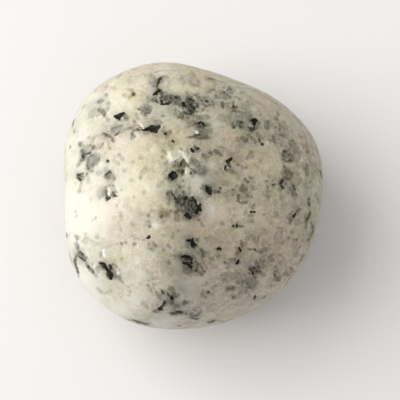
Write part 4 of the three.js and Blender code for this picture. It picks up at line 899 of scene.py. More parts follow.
    (.3, 5.9, 6.4, .2), (.25, 5.3, 4.9, .25), (.45, 8.95, 4.5, .22), (.3, 8.3, 4.6, .2), (.25, 8.2, 8.3, .3),
    (.25, 6.7, 8.1, .25), (.25, 6.15, 5.6, .18), (.3, 10.7, 4.6, .18), (.35, 11.6, 5.9, .25),
    (.3, 12, 3.8, .3), (.35, -2.3, 9.8, .2), (.3, -.7, 9.8, .18), (.35, .9, 9.15, .28), (.3, -.5, 8.85, .25),
    (.35, 4, 9.05, .23), (.25, 3, 9.1, .25), (.35, -3.3, 6.95, .16), (.4, -4.1, 6.4, .2),
    (.35, 3.8, 10.65, .16), (.6, -2.2, 3.6, .25), (.6, -1.9, 3.9, .22), (.5, -.9, 2.2, .16),
    (.3, -.4, 2.25, .16), (.5, -1.2, 3.6, .18), (.4, -1.6, 3.15, .18), (.35, -1.75, 2.9, .18),
    (.45, -1.5, -.2, .25), (.35, -1, -.85, .2), (.35, -.3, -.6, .2), (.4, .3, -.65, .16), (.3, .5, -1.9, .2),
    (.3, .55, 3.9, .25), (.35, 1.9, 2.9, .3), (.3, 1.4, 2, .3), (.3, .45, 1.8, .3), (.25, -1.1, 1.2, .2),
    (.35, -3.4, 1.1, .25), (.35, 1.55, .25, .16), (.45, 3, 3.45, .22), (.6, 3.15, 2.75, .2),
    (.35, 1.8, -1.2, .35), (.3, 2, -1.8, .4), (.25, -3.6, -1.3, .25), (.35, 9.2, 2.4, .18),
    (.3, 5.8, 4.1, .25), (.3, 11.05, -1.75, .2), (.25, 6.6, .2, .3), (.3, 10, .7, .18), (.3, 10.8, 3.5, .2),
    (.14, -11.5, 2.8, 1.6), (.12, -8.3, 1.6, 2.2), (.1, -8.9, 7.6, 1.6), (.15, -10.5, -8.4, .9),
    (.1, -5.9, -10, 1.4), (.1, -5.3, 1.6, 1.4), (.08, -7.5, -1.6, 1.4),
), "dim": (
    # dim: darker patches, and painted shade: the broad ones darken the crown and the right side
    (.15, 3.65, 6.6, 4), (.15, 5.65, -4.9, 4.5), (.12, 2.15, -2.9, 4), (.3, -3.1, 6.4, .8),
    (.25, -3.3, 5.1, .7), (.4, -2.7, -1.9, .8), (.25, -2.1, -3.4, .9), (.3, 4.1, 4.1, 1), (.3, 4.3, 2.6, .9),
    (.25, 4.9, 5.7, .6), (.2, 2.65, 1.6, .9), (.2, -5.5, -2, .8), (.2, -4.3, -4.7, .7), (.2, -8.3, -3.4, .8),
    (.15, 7.2, .6, .9), (.15, .15, 11.6, .7), (.2, -1.7, 7.6, .7), (.2, 3.5, 0, .9), (.2, 2.1, 4.4, .9),
    (.2, 2.9, -5, .9), (.2, -.1, -4.4, 3.8), (.14, 3.9, 2.6, 3.6), (.15, -2.1, -9.2, 2.6),
    (.2, -1.1, -6.6, 1.5), (.16, .3, -3.2, 1.1), (.12, -3.3, 6.4, 1.6), (.12, -1.1, 1.2, .7),
    (.1, 1.9, 3.2, .9), (.1, 1.25, -6.6, 1), (.1, 9.05, 5, 1.4), (.12, 2.1, 9.6, 1.4), (.12, .7, 6.6, 1.2),
    (.1, -8.3, -6.2, .9), (.12, 1.25, -9.4, 1.3), (.12, 3.65, -8.4, .8), (.12, 5.4, 5.4, .8),
    (.1, 10.05, 1.2, .8), (.25, -1.1, 1.2, .8), (.1, -2.5, 3, .7), (.08, -2.7, 0, .7), (.08, -5.9, 7.8, .8),
    (.14, -1.3, -1.8, .9), (.07, .7, 7.4, 1.6), (.07, -2.7, 5.6, 1.4), (.07, -.7, -5.6, 2),
    (.05, 1.25, -10.4, 1.8), (.08, -.7, -12, 1), (.08, 5.3, 6, .9), (.06, 2.9, 1.6, .9), (.07, 6.9, -6, .8),
    (.06, -8.5, -7, .8), (.05, -4.3, -3.6, .8),
), "cool": (
    (.4, -3.9, 9.2, .9), (.4, -2.1, 8.8, .8), (.3, -7.3, 8, .9), (.35, 1.2, 6.4, .9), (.35, .9, 4.8, .9),
    (.45, -2, 1.2, .7), (.4, -2.7, 0, .7), (.4, -.3, -2, .9), (.45, .45, -5.6, .9), (.45, -1.1, -7.2, 1.1),
    (.45, -1.1, -9.2, 1.1), (.35, -2.5, -10.8, .9), (.35, 2.1, 1.2, .9), (.25, 7.7, 7, .8),
    (.2, 7.3, -6.4, .8), (.3, -8.9, 6.6, .8), (.25, -10.3, 3.9, .8), (.2, -8.7, -6.9, .9),
    (.3, 4.9, 8.8, .7), (.2, -9.3, .3, .6), (.25, 2.25, 9.4, .9), (.35, -.7, -4, .9), (.2, -3.3, -12.2, .8),
    (.15, 9.2, 1.6, .9), (.25, .45, -10.2, .9), (.3, 8.7, 6, .8), (.3, 5.3, 1.2, .9), (.25, -4.3, 10.4, .6),
    (.3, .7, -1, .8), (.2, 5.65, 5, .6), (.25, 1.25, 2.2, .8), (.25, 4.9, -6.6, .7), (.2, -.5, 6.4, .8),
), "halo": (
    (.6, .15, 1.6, 1.4), (.5, -10.8, 3.1, 1.2), (.5, -9.8, -7.2, 1.4), (.4, -1.7, -10.4, 1.4),
    (.3, -3.8, 10.1, .9), (.4, -.6, -5.6, 1), (.4, -7.5, 7.3, 1), (.4, -9.7, 4.4, .5), (.4, -6.6, -7.9, .9),
    (.4, -2.3, 1, .8),
), "rust": (
    (.6, 3.8, 5.4, .8), (.3, 6.9, 9, .8), (.5, 6.3, 3.6, 1.2), (.3, -7.2, -6.3, .3), (.3, -8.3, 4.8, .5),
    (.25, -1.5, -2.9, .9), (.3, 1.2, 11.8, .9), (.12, 3.15, -4.4, 1.4), (.25, -5.8, 3.1, 1),
), "moss": (
    (.6, -1.4, -4.7, .4), (.4, -2, -4, .7), (.5, 3.15, 7.6, .9), (.5, 4.95, 6.4, .9), (.4, -2.9, -1.9, .5),
    (.4, -3, .6, .8), (.35, 3.9, 1.6, .7), (.3, 3.9, 5.1, .3), (.3, 3.15, -.7, .9), (.3, 7.45, 4.1, 1),
    (.3, 2.9, 3.1, 1), (.3, 9.9, 6.8, .8), (.3, 11.7, 2.1, 1), (.3, 11.05, -3.9, .7),
), "straw": (
    (.4, -4.3, 3.6, 2), (.35, -5.3, .6, 1.8), (.35, -6.5, 10, 2), (.45, -2.7, 5.1, 1.6),
    (.35, -2.7, -1.4, 1.2), (.4, -.9, 5.8, 1.2), (.3, 7.1, 3.8, 1.2), (.3, 7.45, -2.2, 1.8),
    (.25, -1.1, 10.6, 1.2), (.25, -5.9, 5, 1.1), (.12, 7.1, .6, 3),
), "pink": (
    (.5, 8.3, -4.4, 2.6), (.4, 3.65, -8.2, 3.4), (.35, 6.9, -1.6, 1.4), (.3, 4.1, 3.8, 1.4),
    (.3, -6.9, -1.6, 1.8), (.3, -4.3, 6.4, 1.4), (.3, -1.5, -6.6, 1.8), (.3, 10.3, -1.6, 1),
    (.3, -7.1, 4.4, 1), (.3, 5.3, -10, 2.6), (.25, -.3, -9.6, 2), (.2, 8.9, -7.2, 1.4),
    (.25, 8.45, -4.4, 1.2), (.2, 2.1, -3.6, 1), (.2, 5.45, 4, .8), (.2, 5.3, -.4, 1), (.12, 3.3, -7.4, 3),
    (.15, 2.1, 6.2, .8),
), "green": (
    (.7, -12.5, 4.6, 1.8), (.5, -11.3, 7.6, 1.6), (.5, 12.05, 0, 1.3), (.5, 5.3, 7.6, 1.4),
    (.5, .05, -.4, 1.4), (.4, -3.3, 9.2, 2), (.4, 1.2, 7.8, 1.4), (.35, -2.7, 2.4, 1), (.3, 3.65, 10, 2),
    (.3, -10.3, 3.2, 1), (.4, -12.3, 3.6, 1.1), (.35, -12.3, .6, .9), (.35, -11.5, -6.6, 1.2),
    (.4, 12.4, .8, 1.1), (.35, 11.55, -2.6, .9), (.25, -10.1, -2.2, 1), (.2, -7.3, 1, .8),
    (.15, 2.25, 2.4, 1), (.12, .45, 1.4, .9),
), "ash": (
    (.5, -.3, -11.6, 3.8), (.5, 10.9, -6.6, 1.3), (.5, 9.45, -9.2, 1.4), (.4, 6.9, -11, 1.4),
    (.5, -5.3, -11, 2.2), (.4, -10.1, -7, 2), (.5, -11.7, -2, 1.2), (.35, -12.3, 5.6, 1.6),
    (.35, 6.7, -10, 2.4), (.3, 1.05, -1, 1.4), (.3, -.3, -7.4, 2), (.45, -12.2, 4, 1.1),
    (.4, -12.1, 1.1, .9), (.5, -11.6, -1.8, .9), (.35, -12.3, -4.8, .9), (.35, -10.8, -6.6, .7),
    (.3, -5.3, -2.8, 1.2), (.25, -3.3, -2.6, .9), (.25, -10.7, 4.8, 1.6), (.3, -12.3, 3.6, 1),
    (.4, -11.3, -1.8, .9), (.2, -11.3, -6.6, .9),
)}
print(sum(len(clouds) for clouds in CLOUDS.values()), "clouds")

# %% [markdown]
# To paint the upper side, every corner of the mesh is looked at from the camera, which gives its
# place among the marks. What counts is how far each corner faces the camera: 1 is straight at
# it, 0 is the horizon, and less is out of sight.

# %% How every corner is seen
OUTLINE_MIDDLE = np.array((-0.66, 0.4))  # from the picture's middle, in millimetres
PAST_HORIZON = -0.45  # marks go on to here
CLOUDS_FULL = -0.05  # clouds are full down to here, and fade out towards PAST_HORIZON

corners = read(pebble, "co")
normals = read(pebble, "normal")
from_eye = corners - np.array(eye)
reach = -from_eye @ np.array(towards_camera)
seen_at = np.stack([from_eye @ np.array(picture_right), from_eye @ np.array(picture_up)], axis=1)
seen_at = seen_at * (CAMERA_DISTANCE / reach)[:, None] / MM - OUTLINE_MIDDLE
facing = -np.sum(normals * from_eye, axis=1) / np.linalg.norm(from_eye, axis=1)
seen = np.nonzero(facing > PAST_HORIZON)[0]
known = ramp(facing, PAST_HORIZON, CLOUDS_FULL)
print(len(seen), "of", len(corners), "corners take marks from the camera")

# %% [markdown]
# Near the horizon the surface turns away, and a mark would be drawn out into a streak down the
# flank. So each point of a mark is also given its place in space, on the corner that is seen
# there, and a mark only reaches corners that are near to it in space too.

# %% Places in space
in_sight = np.nonzero(facing > 0)[0]
finder = KDTree(len(in_sight))
for number, corner in enumerate(in_sight):
    finder.insert((*seen_at[corner], 0), number)
finder.balance()


def on_surface(x, y):
    """Where a point of the picture lies in space, in millimetres."""
    return corners[in_sight[finder.find((x, y, 0))[1]]] / MM


def near(points):
    """The corners that are seen no further than FAR from the box round a mark."""
    low = np.min([(x - half, y - half) for x, y, half in points], axis=0) - FAR
    high = np.max([(x + half, y + half) for x, y, half in points], axis=0) + FAR
    return seen[((seen_at[seen] > low) & (seen_at[seen] < high)).all(axis=1)]


print("the outline's middle lies", np.round(on_surface(0, 0), 1), "mm from the frame's origin")

# %% [markdown]
# With that, the strokes are laid one after the other. A cloud is a stroke of one point, whose
# paint thins out evenly from its middle.

# %% Paint the upper side
CLOUD_REACH = 2  # a cloud is followed out to this many times its radius, and a little more
STROKES = {"crystal": CRYSTALS, "smoke": SMOKE, "wash": WASHES, "brown": BROWN_SPECKS,
           "quartz": QUARTZ, "chip": CHIPS_AND_GLINTS}


def points_of(numbers):
    """The points of a stroke, each as its place and its half-width."""
    return [tuple(numbers[first:first + 3]) for first in range(0, len(numbers), 3)]


def thinning(off, radius):
    """How much of a cloud's paint is left at a distance from its middle."""
    return np.exp(-((off / radius) ** 2))


for paint, strokes in STROKES.items():
    for strength, *numbers in strokes:
        points = points_of(numbers)
        close = near(points)
        bones = [on_surface(x, y) for x, y, half in points]
        gap = stroke_gap(seen_at[close], points, (corners[close] / MM, bones))
        canvas.stroke(paint, close, gap, strength)
for paint, clouds in CLOUDS.items():
    for strength, x, y, radius in clouds:
        close = near([(x, y, CLOUD_REACH * radius)])
        off = stroke_gap(seen_at[close], [(x, y, 0)], (corners[close] / MM, [on_surface(x, y)]))
        canvas.add(paint, close, known[close] * strength * thinning(off, radius))
print("corners in crystals", int((canvas.gap["crystal"] < 0).sum()))

# %% [markdown]
# ### The flanks and the underside
#
# The other sides of this pebble are not known, but they are the same rock. They are given patches
# of the upper side, laid down again all round, each turned by its own angle and every other one
# mirrored. A stroke that would cross into the known side is left out, so no mark is cut there.

# %% Places for the patches
PATCH_SPACING = 4.2 * MM
OUT_OF_SIGHT = -0.12  # the patches have their middles where facing is below this
MOST_TRIES = 5000
SEED = 11
dice = np.random.default_rng(SEED)
hidden = np.nonzero(facing < OUT_OF_SIGHT)[0]
sites = []
for corner in dice.permutation(hidden)[:MOST_TRIES]:
    if not sites or np.linalg.norm(corners[sites] - corners[corner], axis=1).min() > PATCH_SPACING:
        sites.append(corner)
print(len(sites), "patches")

# %% [markdown]
# A patch is like a round piece of printed cloth, laid over a hidden corner of the pebble. It
# knows the corners that it covers, and where each mark comes to lie among them.

# %% One patch
PATCH_REACH = 2.6  # millimetres: a patch takes the strokes that start this near to its middle
PAINTED_REACH = 5.5 * MM  # no stroke of a patch goes further than this
STILL_OUTWARDS = 0.2  # nor where the pebble has turned away: 1 faces as the middle does, 0 is square
SMALL_CLOUD = 1.5  # millimetres: only clouds up to this size are part of a patch


class Patch:
    """A round piece of the upper side's marks, to be laid again round a hidden corner."""

    def __init__(self, site, middle, turn, mirror):
        self.middle, self.turn, self.mirror = middle, turn, mirror
        outwards = Vector(normals[site])
        sideways = outwards.orthogonal().normalized()
        upwards = outwards.cross(sideways)
        off = corners - corners[site]
        close = np.linalg.norm(off, axis=1) < PAINTED_REACH
        close &= normals @ np.array(outwards) > STILL_OUTWARDS
        self.close = np.nonzero(close)[0]
        off = off[self.close] / MM
        self.flat = np.stack([off @ np.array(sideways), off @ np.array(upwards)], axis=1)

    def takes(self, x, y):
        """Whether a mark that starts here is in the patch."""
        return math.hypot(x - self.middle[0], y - self.middle[1]) < PATCH_REACH

    def laid(self, x, y):
        """Where a point of the upper side comes to lie in the patch."""
        x, y = (x - self.middle[0]) * self.mirror, y - self.middle[1]
        cosine, sine = math.cos(self.turn), math.sin(self.turn)
        return x * cosine - y * sine, x * sine + y * cosine

    def gap(self, points):
        """How far each near corner is from the edge of a mark, once that is laid."""
        return stroke_gap(self.flat, [(*self.laid(x, y), half) for x, y, half in points])


print("a patch is", 2 * PATCH_REACH, "mm wide")

# %% [markdown]
# Each patch takes its marks from another part of the upper side, well inside the outline, where
# nothing is foreshortened. The long chips are left out, as an eye would know them again.

# %% Lay the patches
SOURCE_REACH = 8.5  # millimetres from the outline's middle
for number, site in enumerate(sites):
    bearing, share = dice.uniform(0, 2 * math.pi), math.sqrt(dice.uniform())
    middle = (SOURCE_REACH * share * math.cos(bearing), SOURCE_REACH * share * math.sin(bearing))
    mirror = -1 if number % 2 else 1
    patch = Patch(site, middle, dice.uniform(0, 2 * math.pi), mirror)
    for paint, strokes in STROKES.items():
        for strength, *numbers in strokes:
            points = points_of(numbers)
            long_chip = paint == "chip" and len(points) > 1
            if long_chip or not patch.takes(*points[0][:2]):
                continue
            gap = patch.gap(points)
            if not (facing[patch.close[gap < 0]] > 0).any():
                canvas.stroke(paint, patch.close, gap, strength)
    for paint, clouds in CLOUDS.items():
        for strength, x, y, radius in clouds:
            if radius < SMALL_CLOUD and patch.takes(x, y):
                amount = strength * thinning(patch.gap([(x, y, 0)]), radius)
                canvas.add(paint, patch.close, (1 - known[patch.close]) * amount)
print("corners in crystals", int((canvas.gap["crystal"] < 0).sum()), "of", len(corners))

# %% [markdown]
# The broad changes of the ground are scattered over the other sides too, as clouds of a few
# millimetres.

# %% Broad clouds on the other sides
BROAD_CLOUDS = {"cream": (9, 0.5), "grey": (9, 0.5), "straw": (5, 0.4), "pink": (5, 0.35),
                "green": (5, 0.35), "ash": (4, 0.4), "pale": (8, 0.35), "dim": (8, 0.2)}
SMALLEST, WIDEST = 2, 5  # millimetres
for paint, (count, strength) in BROAD_CLOUDS.items():
    for site in dice.choice(hidden, count):
        off = np.linalg.norm(corners - corners[site], axis=1) / MM
        radius = dice.uniform(SMALLEST, WIDEST)
        canvas.add(paint, slice(None), (1 - known) * strength * thinning(off, radius))
print(len(hidden), "corners on the other sides")

# %% [markdown]
# The paints are stored on the mesh under their names, where the material finds them.

# %% Store the paints
def store(piece, name, values):
    """A number at every corner of a mesh, which a material reads by name."""
    attribute = piece.data.attributes.new(name, "FLOAT", "POINT")
    attribute.data.foreach_set("value", values.astype(np.float32))


for paint, gap in canvas.gap.items():
    store(pebble, paint + "_gap", gap)
for paint, amount in canvas.amount.items():
    store(pebble, paint, amount)
print(len(pebble.data.attributes), "attributes")

# %% [markdown]
# ## Relief
#
# The drum wears the softer parts a little faster. A cloudy texture pushes the skin in by up to a
# tenth of a millimetre, which gives the slow unevenness that a hand feels. The crystals are
# brittle and have lost a little more, and quartz half as much. All of it goes inwards, so the
# pebble stays inside its packed size, and the flat that it rests on is left as it is.

# %% Push the skin in
UNEVEN_DEPTH, UNEVEN_SIZE, UNEVEN_DETAIL = 0.09 * MM, 2.2 * MM, 3
SUNK_DEPTH = 0.02 * MM
CRYSTAL_SINKS, QUARTZ_SINKS = (0.05, -0.1), (0.05, -0.2)  # from this gap to that, in millimetres
QUARTZ_SUNK = 0.5  # as a share of the crystals' depth
REST_HEIGHT = 1.0 * MM  # above the floor, below which the skin fades into the flat

cloudy = bpy.data.textures.new("worn_skin", "CLOUDS")
cloudy.noise_scale = UNEVEN_SIZE
cloudy.noise_depth = UNEVEN_DETAIL
above_rest = ramp(corners[:, 2], 0, REST_HEIGHT)
crystals_sunk = ramp(canvas.gap["crystal"], *CRYSTAL_SINKS) * canvas.amount["crystal"]
quartz_sunk = QUARTZ_SUNK * ramp(canvas.gap["quartz"], *QUARTZ_SINKS) * canvas.amount["quartz"]
sunk = np.maximum(crystals_sunk, quartz_sunk)
uneven_group = weight_group(pebble, "uneven", above_rest)
sunk_group = weight_group(pebble, "sunk", sunk * above_rest)
apply_modifier(pebble, "DISPLACE", texture=cloudy, texture_coords="LOCAL", mid_level=0,
               strength=-UNEVEN_DEPTH, vertex_group=uneven_group)
apply_modifier(pebble, "DISPLACE", mid_level=0, strength=-SUNK_DEPTH, vertex_group=sunk_group)
bpy.ops.object.select_all(action="DESELECT")
pebble.select_set(True)
bpy.context.view_layer.objects.active = pebble
bpy.ops.object.shade_smooth()
moved = np.linalg.norm(read(pebble, "co") - corners, axis=1)
print("pushed in by up to", round(moved.max() / MM, 3), "mm")

# %% [markdown]
# ## The material
#
# One material makes the whole rock. It starts from the ground and lays each painted mark over it,
# from the largest and faintest to the smallest and darkest, as they lie in the stone from the
# deepest up. First come a few helpers, which keep the rest readable.

# %% Helpers for nodes
def srgb(red, green, blue):
    """A colour given as it looks on a screen, 0 to 255, in the linear values that nodes take."""
    def linear(value):
        value /= 255
        return value / 12.92 if value <= 0.04045 else ((value + 0.055) / 1.055) ** 2.4
    return (linear(red), linear(green), linear(blue), 1)


stone_material = bpy.data.materials.new("spotted_stone")
stone_material.use_nodes = True
tree = stone_material.node_tree
tree.nodes.clear()


def node(kind, inputs=(), **settings):
    """A node with its settings and inputs. An input is a value or another node's socket."""
    made = tree.nodes.new("ShaderNode" + kind)
    for name, value in settings.items():
        setattr(made, name, value)
    for name, value in dict(inputs).items():
        if isinstance(value, bpy.types.NodeSocket):
            tree.links.new(value, made.inputs[name])
        else:
            made.inputs[name].default_value = value
    return made


def painted(name):
    """A value that was painted on the mesh."""
    return node("Attribute", attribute_name=name).outputs["Fac"]


def maths(operation, first, second=0.0, third=0.0):
    """A sum, a product or the like of up to three numbers or sockets."""
    return node("Math", {0: first, 1: second, 2: third}, operation=operation).outputs[0]


def fade(value, start, end, low=0.0, high=1.0):
    """low where value is at start and high where it is at end, with a smooth run between."""
    inputs = {"Value": value, "From Min": start, "From Max": end, "To Min": low, "To Max": high}
    return node("MapRange", inputs, interpolation_type="SMOOTHSTEP").outputs["Result"]


def blend(share, under, over, kind="MIX"):
    """One colour over another. share is how much of the upper one shows."""
    made = node("Mix", {0: share, 6: under, 7: over}, data_type="RGBA", blend_type=kind)
    return made.outputs[2]


def veil(under, over, value, gone, full, share):
    """One colour over another: nothing of it where value is at gone, and share of it at full."""
    return blend(fade(value, gone, full, 0, share), under, over)


print("material", stone_material.name)

# %% [markdown]
# The textures are laid out in millimetres of the pebble itself, so a scale is in waves or grains
# to the millimetre.

# %% Helpers for textures
PER_MM = 1 / MM
MIDDLE = 0.5  # of a noise
EDGE_DETAIL, EDGE_ROUGHNESS = 3, 0.65
WOBBLE_DETAIL = 2.0

where = node("TexCoord").outputs["Object"]
place = node("Mapping", {"Vector": where, "Scale": (PER_MM, PER_MM, PER_MM)}).outputs["Vector"]


def noise(scale, detail=3.0, roughness=0.55):
    """Cloudy noise from 0 to 1."""
    inputs = {"Vector": place, "Scale": scale, "Detail": detail, "Roughness": roughness}
    return node("TexNoise", inputs).outputs["Fac"]


def ragged(gap, scale, amount):
    """A distance from an edge, moved to and fro by noise so that the edge is uneven."""
    cloud = noise(scale, EDGE_DETAIL, EDGE_ROUGHNESS)
    return maths("MULTIPLY_ADD", maths("SUBTRACT", cloud, MIDDLE), amount, gap)


def shifted(amount, scale):
    """The place moved about by noise, up to about amount millimetres."""
    inputs = {"Vector": place, "Scale": scale, "Detail": WOBBLE_DETAIL}
    cloud = node("TexNoise", inputs).outputs["Color"]
    centred = node("VectorMath", {0: cloud, 1: (MIDDLE, MIDDLE, MIDDLE)}, operation="SUBTRACT").outputs[0]
    scaled = node("VectorMath", {0: centred, "Scale": 2 * amount}, operation="SCALE").outputs[0]
    return node("VectorMath", {0: place, 1: scaled}, operation="ADD").outputs[0]


def grains(scale, vector):
    """Grains like paving: a random value, a second one, and the distance to the seam."""
    cells = node("TexVoronoi", {"Vector": vector, "Scale": scale}, feature="F1")
    seam = node("TexVoronoi", {"Vector": vector, "Scale": scale}, feature="DISTANCE_TO_EDGE")
    values = node("SeparateColor", {"Color": cells.outputs["Color"]}).outputs
    return values["Red"], values["Green"], seam.outputs["Distance"]


print("textures are laid out in millimetres; nodes so far", len(tree.nodes))

# %% [markdown]
# ### The ground
#
# Feldspar is cream to grey-beige. Its grains differ a little in tone and hue, with paler seams
# between them, and they are cloudy inside. Broader changes of hue run through all of it.

# %% Ground
FELDSPAR_LIGHT, FELDSPAR_DEEP = srgb(214, 208, 188), srgb(175, 166, 146)
CREAM_DRIFT = 0.12  # how much the cream comes and goes by itself
GRAINS_PER_MM = 1.5
GRAIN_WOBBLE, WOBBLE_SCALE = 0.35, 1.3
GRAIN_DARK, GRAIN_PINK, GRAIN_GREEN = srgb(158, 147, 126), srgb(212, 189, 170), srgb(200, 198, 160)
SEAM_PALE, SEAM_WIDTH = srgb(236, 230, 212), 0.075
MOTTLE_DARK, MOTTLE_PALE = srgb(158, 147, 124), srgb(232, 226, 206)
BROAD_PINK, BROAD_GREEN, BROAD_GREY = srgb(208, 190, 170), srgb(196, 196, 162), srgb(196, 196, 188)

drift = fade(noise(0.18, detail=2), 0.35, 0.65, low=-CREAM_DRIFT, high=CREAM_DRIFT)
ground = blend(maths("ADD", painted("cream"), drift), FELDSPAR_DEEP, FELDSPAR_LIGHT)
tone, hue, seam = grains(GRAINS_PER_MM, shifted(GRAIN_WOBBLE, WOBBLE_SCALE))
ground = veil(ground, GRAIN_DARK, tone, gone=0, full=1, share=0.34)
ground = veil(ground, GRAIN_PINK, hue, gone=0.55, full=1, share=0.28)
ground = veil(ground, GRAIN_GREEN, hue, gone=0.45, full=0, share=0.28)
ground = veil(ground, SEAM_PALE, seam, gone=SEAM_WIDTH, full=0, share=0.34)
mottle = noise(1.7, detail=4, roughness=0.6)
ground = veil(ground, MOTTLE_DARK, mottle, gone=0.48, full=0.66, share=0.42)
ground = veil(ground, MOTTLE_PALE, mottle, gone=0.50, full=0.34, share=0.34)
ground = veil(ground, BROAD_PINK, noise(0.7, detail=2), gone=0.48, full=0.64, share=0.62)
ground = veil(ground, BROAD_GREEN, noise(0.6, detail=2), gone=0.50, full=0.36, share=0.62)
ground = veil(ground, BROAD_GREY, noise(0.8, detail=2), gone=0.52, full=0.66, share=0.35)
print("ground done, nodes so far", len(tree.nodes))

# %% [markdown]
# ### Quartz
#
# Two layers of it: a faint mosaic that comes up where "grey" was painted, and the single grains.
# A second, finer paving gives those their straight sides.

# %% Quartz mosaic
MOSAIC_PER_MM, MOSAIC_WOBBLE, MOSAIC_WOBBLE_SCALE = 1.15, 0.45, 0.9
MOSAIC_IN_GREY, MOSAIC_EVERYWHERE = 0.6, 0.04  # shares of the grains that are quartz
MOSAIC_EDGE, MOSAIC_SEAM, SEAM_LEFT = 0.15, 0.12, 0.1
MOSAIC_SHARE = 0.6
MOSAIC_DARK, MOSAIC_PALE = srgb(136, 128, 112), srgb(168, 160, 142)

value, shade, seam = grains(MOSAIC_PER_MM, shifted(MOSAIC_WOBBLE, MOSAIC_WOBBLE_SCALE))
quartz_share = maths("MULTIPLY_ADD", painted("grey"), MOSAIC_IN_GREY, MOSAIC_EVERYWHERE)
in_mosaic = fade(maths("SUBTRACT", quartz_share, value), 0, MOSAIC_EDGE)
off_seam = fade(seam, 0, MOSAIC_SEAM, low=SEAM_LEFT)
mosaic_share = maths("MULTIPLY", maths("MULTIPLY", in_mosaic, off_seam), MOSAIC_SHARE)
colour = blend(mosaic_share, ground, blend(shade, MOSAIC_DARK, MOSAIC_PALE))
print("mosaic done, nodes so far", len(tree.nodes))

# %% [markdown]
# A hard mark shows inside its edge, and a narrow run across the edge keeps it from looking cut.

# %% Quartz grains in the rock
ANGLES_PER_MM, ANGLES, ANGLES_WOBBLE = 2.4, 0.16, (0.15, 2.0)
QUARTZ_RAGGED = (3.0, 0.18)  # scale of the noise, and millimetres that it moves the edge
QUARTZ_GREY = srgb(84, 79, 68)
RIM_OUTSIDE, RIM_CREST, RIM_INSIDE = 0.14, 0.04, -0.05  # millimetres from the grain's edge
RIM_PALE, RIM_SHARE = srgb(232, 227, 210), 0.26


def cover(gap, paint, outside=0.05, inside=-0.05):
    """How much of a hard paint shows, given the distance from its edge in millimetres."""
    return maths("MULTIPLY", fade(gap, outside, inside), painted(paint))


angular = maths("SUBTRACT", grains(ANGLES_PER_MM, shifted(*ANGLES_WOBBLE))[0], MIDDLE)
quartz_gap = maths("MULTIPLY_ADD", angular, ANGLES, painted("quartz_gap"))
quartz_gap = ragged(quartz_gap, *QUARTZ_RAGGED)
rim = maths("MULTIPLY", fade(quartz_gap, RIM_OUTSIDE, RIM_CREST),
            fade(quartz_gap, RIM_INSIDE, RIM_CREST))
colour = blend(maths("MULTIPLY", rim, RIM_SHARE), colour, RIM_PALE)
quartz_cover = cover(quartz_gap, "quartz", inside=-0.06)
colour = blend(quartz_cover, colour, QUARTZ_GREY)
print("quartz done, nodes so far", len(tree.nodes))

# %% [markdown]
# ### Clouds and stains
#
# The painted clouds tint what lies below them. The last four keep its lightness and change only
# its hue. Between them comes a fine speckle, the cleavage cracks of the feldspar. The pale and dim
# clouds are partly painted light: a painted highlight on the left flank, and painted shade on the
# crown and to the right.

# %% Clouds over the ground
STAINS = {"halo": srgb(214, 216, 206), "rust": srgb(198, 168, 130), "moss": srgb(160, 160, 122)}
STAIN_SHARE = 0.6
SPECK_DARK, SPECK_PALE, SPECK_SHARE = srgb(132, 122, 102), srgb(240, 236, 222), 0.26
# pale and dim: the rock's own lighter and darker patches, with painted highlight and painted shade
TONES_AND_PAINTED_LIGHT = {"pale": srgb(240, 240, 230), "dim": srgb(112, 102, 82), "cool": srgb(98, 98, 90)}
HUES = {"straw": srgb(216, 208, 166), "pink": srgb(206, 189, 172),
        "green": srgb(196, 200, 180), "ash": srgb(190, 186, 176)}

for paint, over in STAINS.items():
    colour = blend(maths("MULTIPLY", painted(paint), STAIN_SHARE), colour, over)
speck = noise(5.0, detail=2, roughness=0.5)
colour = veil(colour, SPECK_DARK, speck, gone=0.54, full=0.70, share=SPECK_SHARE)
colour = veil(colour, SPECK_PALE, speck, gone=0.44, full=0.30, share=SPECK_SHARE)
for paint, over in TONES_AND_PAINTED_LIGHT.items():
    colour = blend(painted(paint), colour, over)
for paint, over in HUES.items():
    colour = blend(painted(paint), colour, over, "COLOR")
print("clouds done, nodes so far", len(tree.nodes))

# %% [markdown]
# ### Smoke and washes
#
# They are uneven, because the feldspar over them is cloudy, and the deepest washes are broken up
# by pale and dark flecks.

# %% Smoke and washes in the rock
WASH_GREY, SMOKE_DARK, RUST_BROWN = srgb(74, 80, 70), srgb(46, 42, 28), srgb(86, 70, 46)
# Flecks start at one value of a noise and are full at another. Then come their share and colour.
PALE_FLECKS = (0.52, 0.66, 0.6, srgb(196, 198, 190))
DARK_FLECKS = (0.48, 0.36, 0.4, srgb(50, 52, 44))


def broken_up(paint, cloud, thin_at, thick_at, thin, thick):
    """A soft paint, thinner and thicker from place to place as a noise runs."""
    return maths("MULTIPLY", painted(paint), fade(cloud, thin_at, thick_at, thin, thick))


wash = broken_up("wash", noise(2.2, roughness=0.6), 0.36, 0.62, thin=0.7, thick=1.15)
colour = blend(wash, colour, WASH_GREY)
flecks = noise(4.5, detail=2, roughness=0.5)
deep_wash = fade(painted("wash"), 0.25, 0.65)
for start, full, share, over in (PALE_FLECKS, DARK_FLECKS):
    fleck_cover = maths("MULTIPLY", deep_wash, fade(flecks, start, full, high=share))
    colour = blend(fleck_cover, colour, over)
uneven = noise(4.0, roughness=0.6)
brown = broken_up("brown", uneven, 0.35, 0.6, thin=0.7, thick=1)
colour = blend(brown, colour, RUST_BROWN)
smoke = broken_up("smoke", noise(3.2, roughness=0.6), 0.36, 0.62, thin=0.62, thick=1.12)
colour = blend(smoke, colour, SMOKE_DARK)
print("soft marks done, nodes so far", len(tree.nodes))

# %% [markdown]
# ### Crystals and chips
#
# Crystals are nearly black, with a ragged edge. Chips are white and still more ragged: pale
# broken edges, with painted glints of highlight on them.

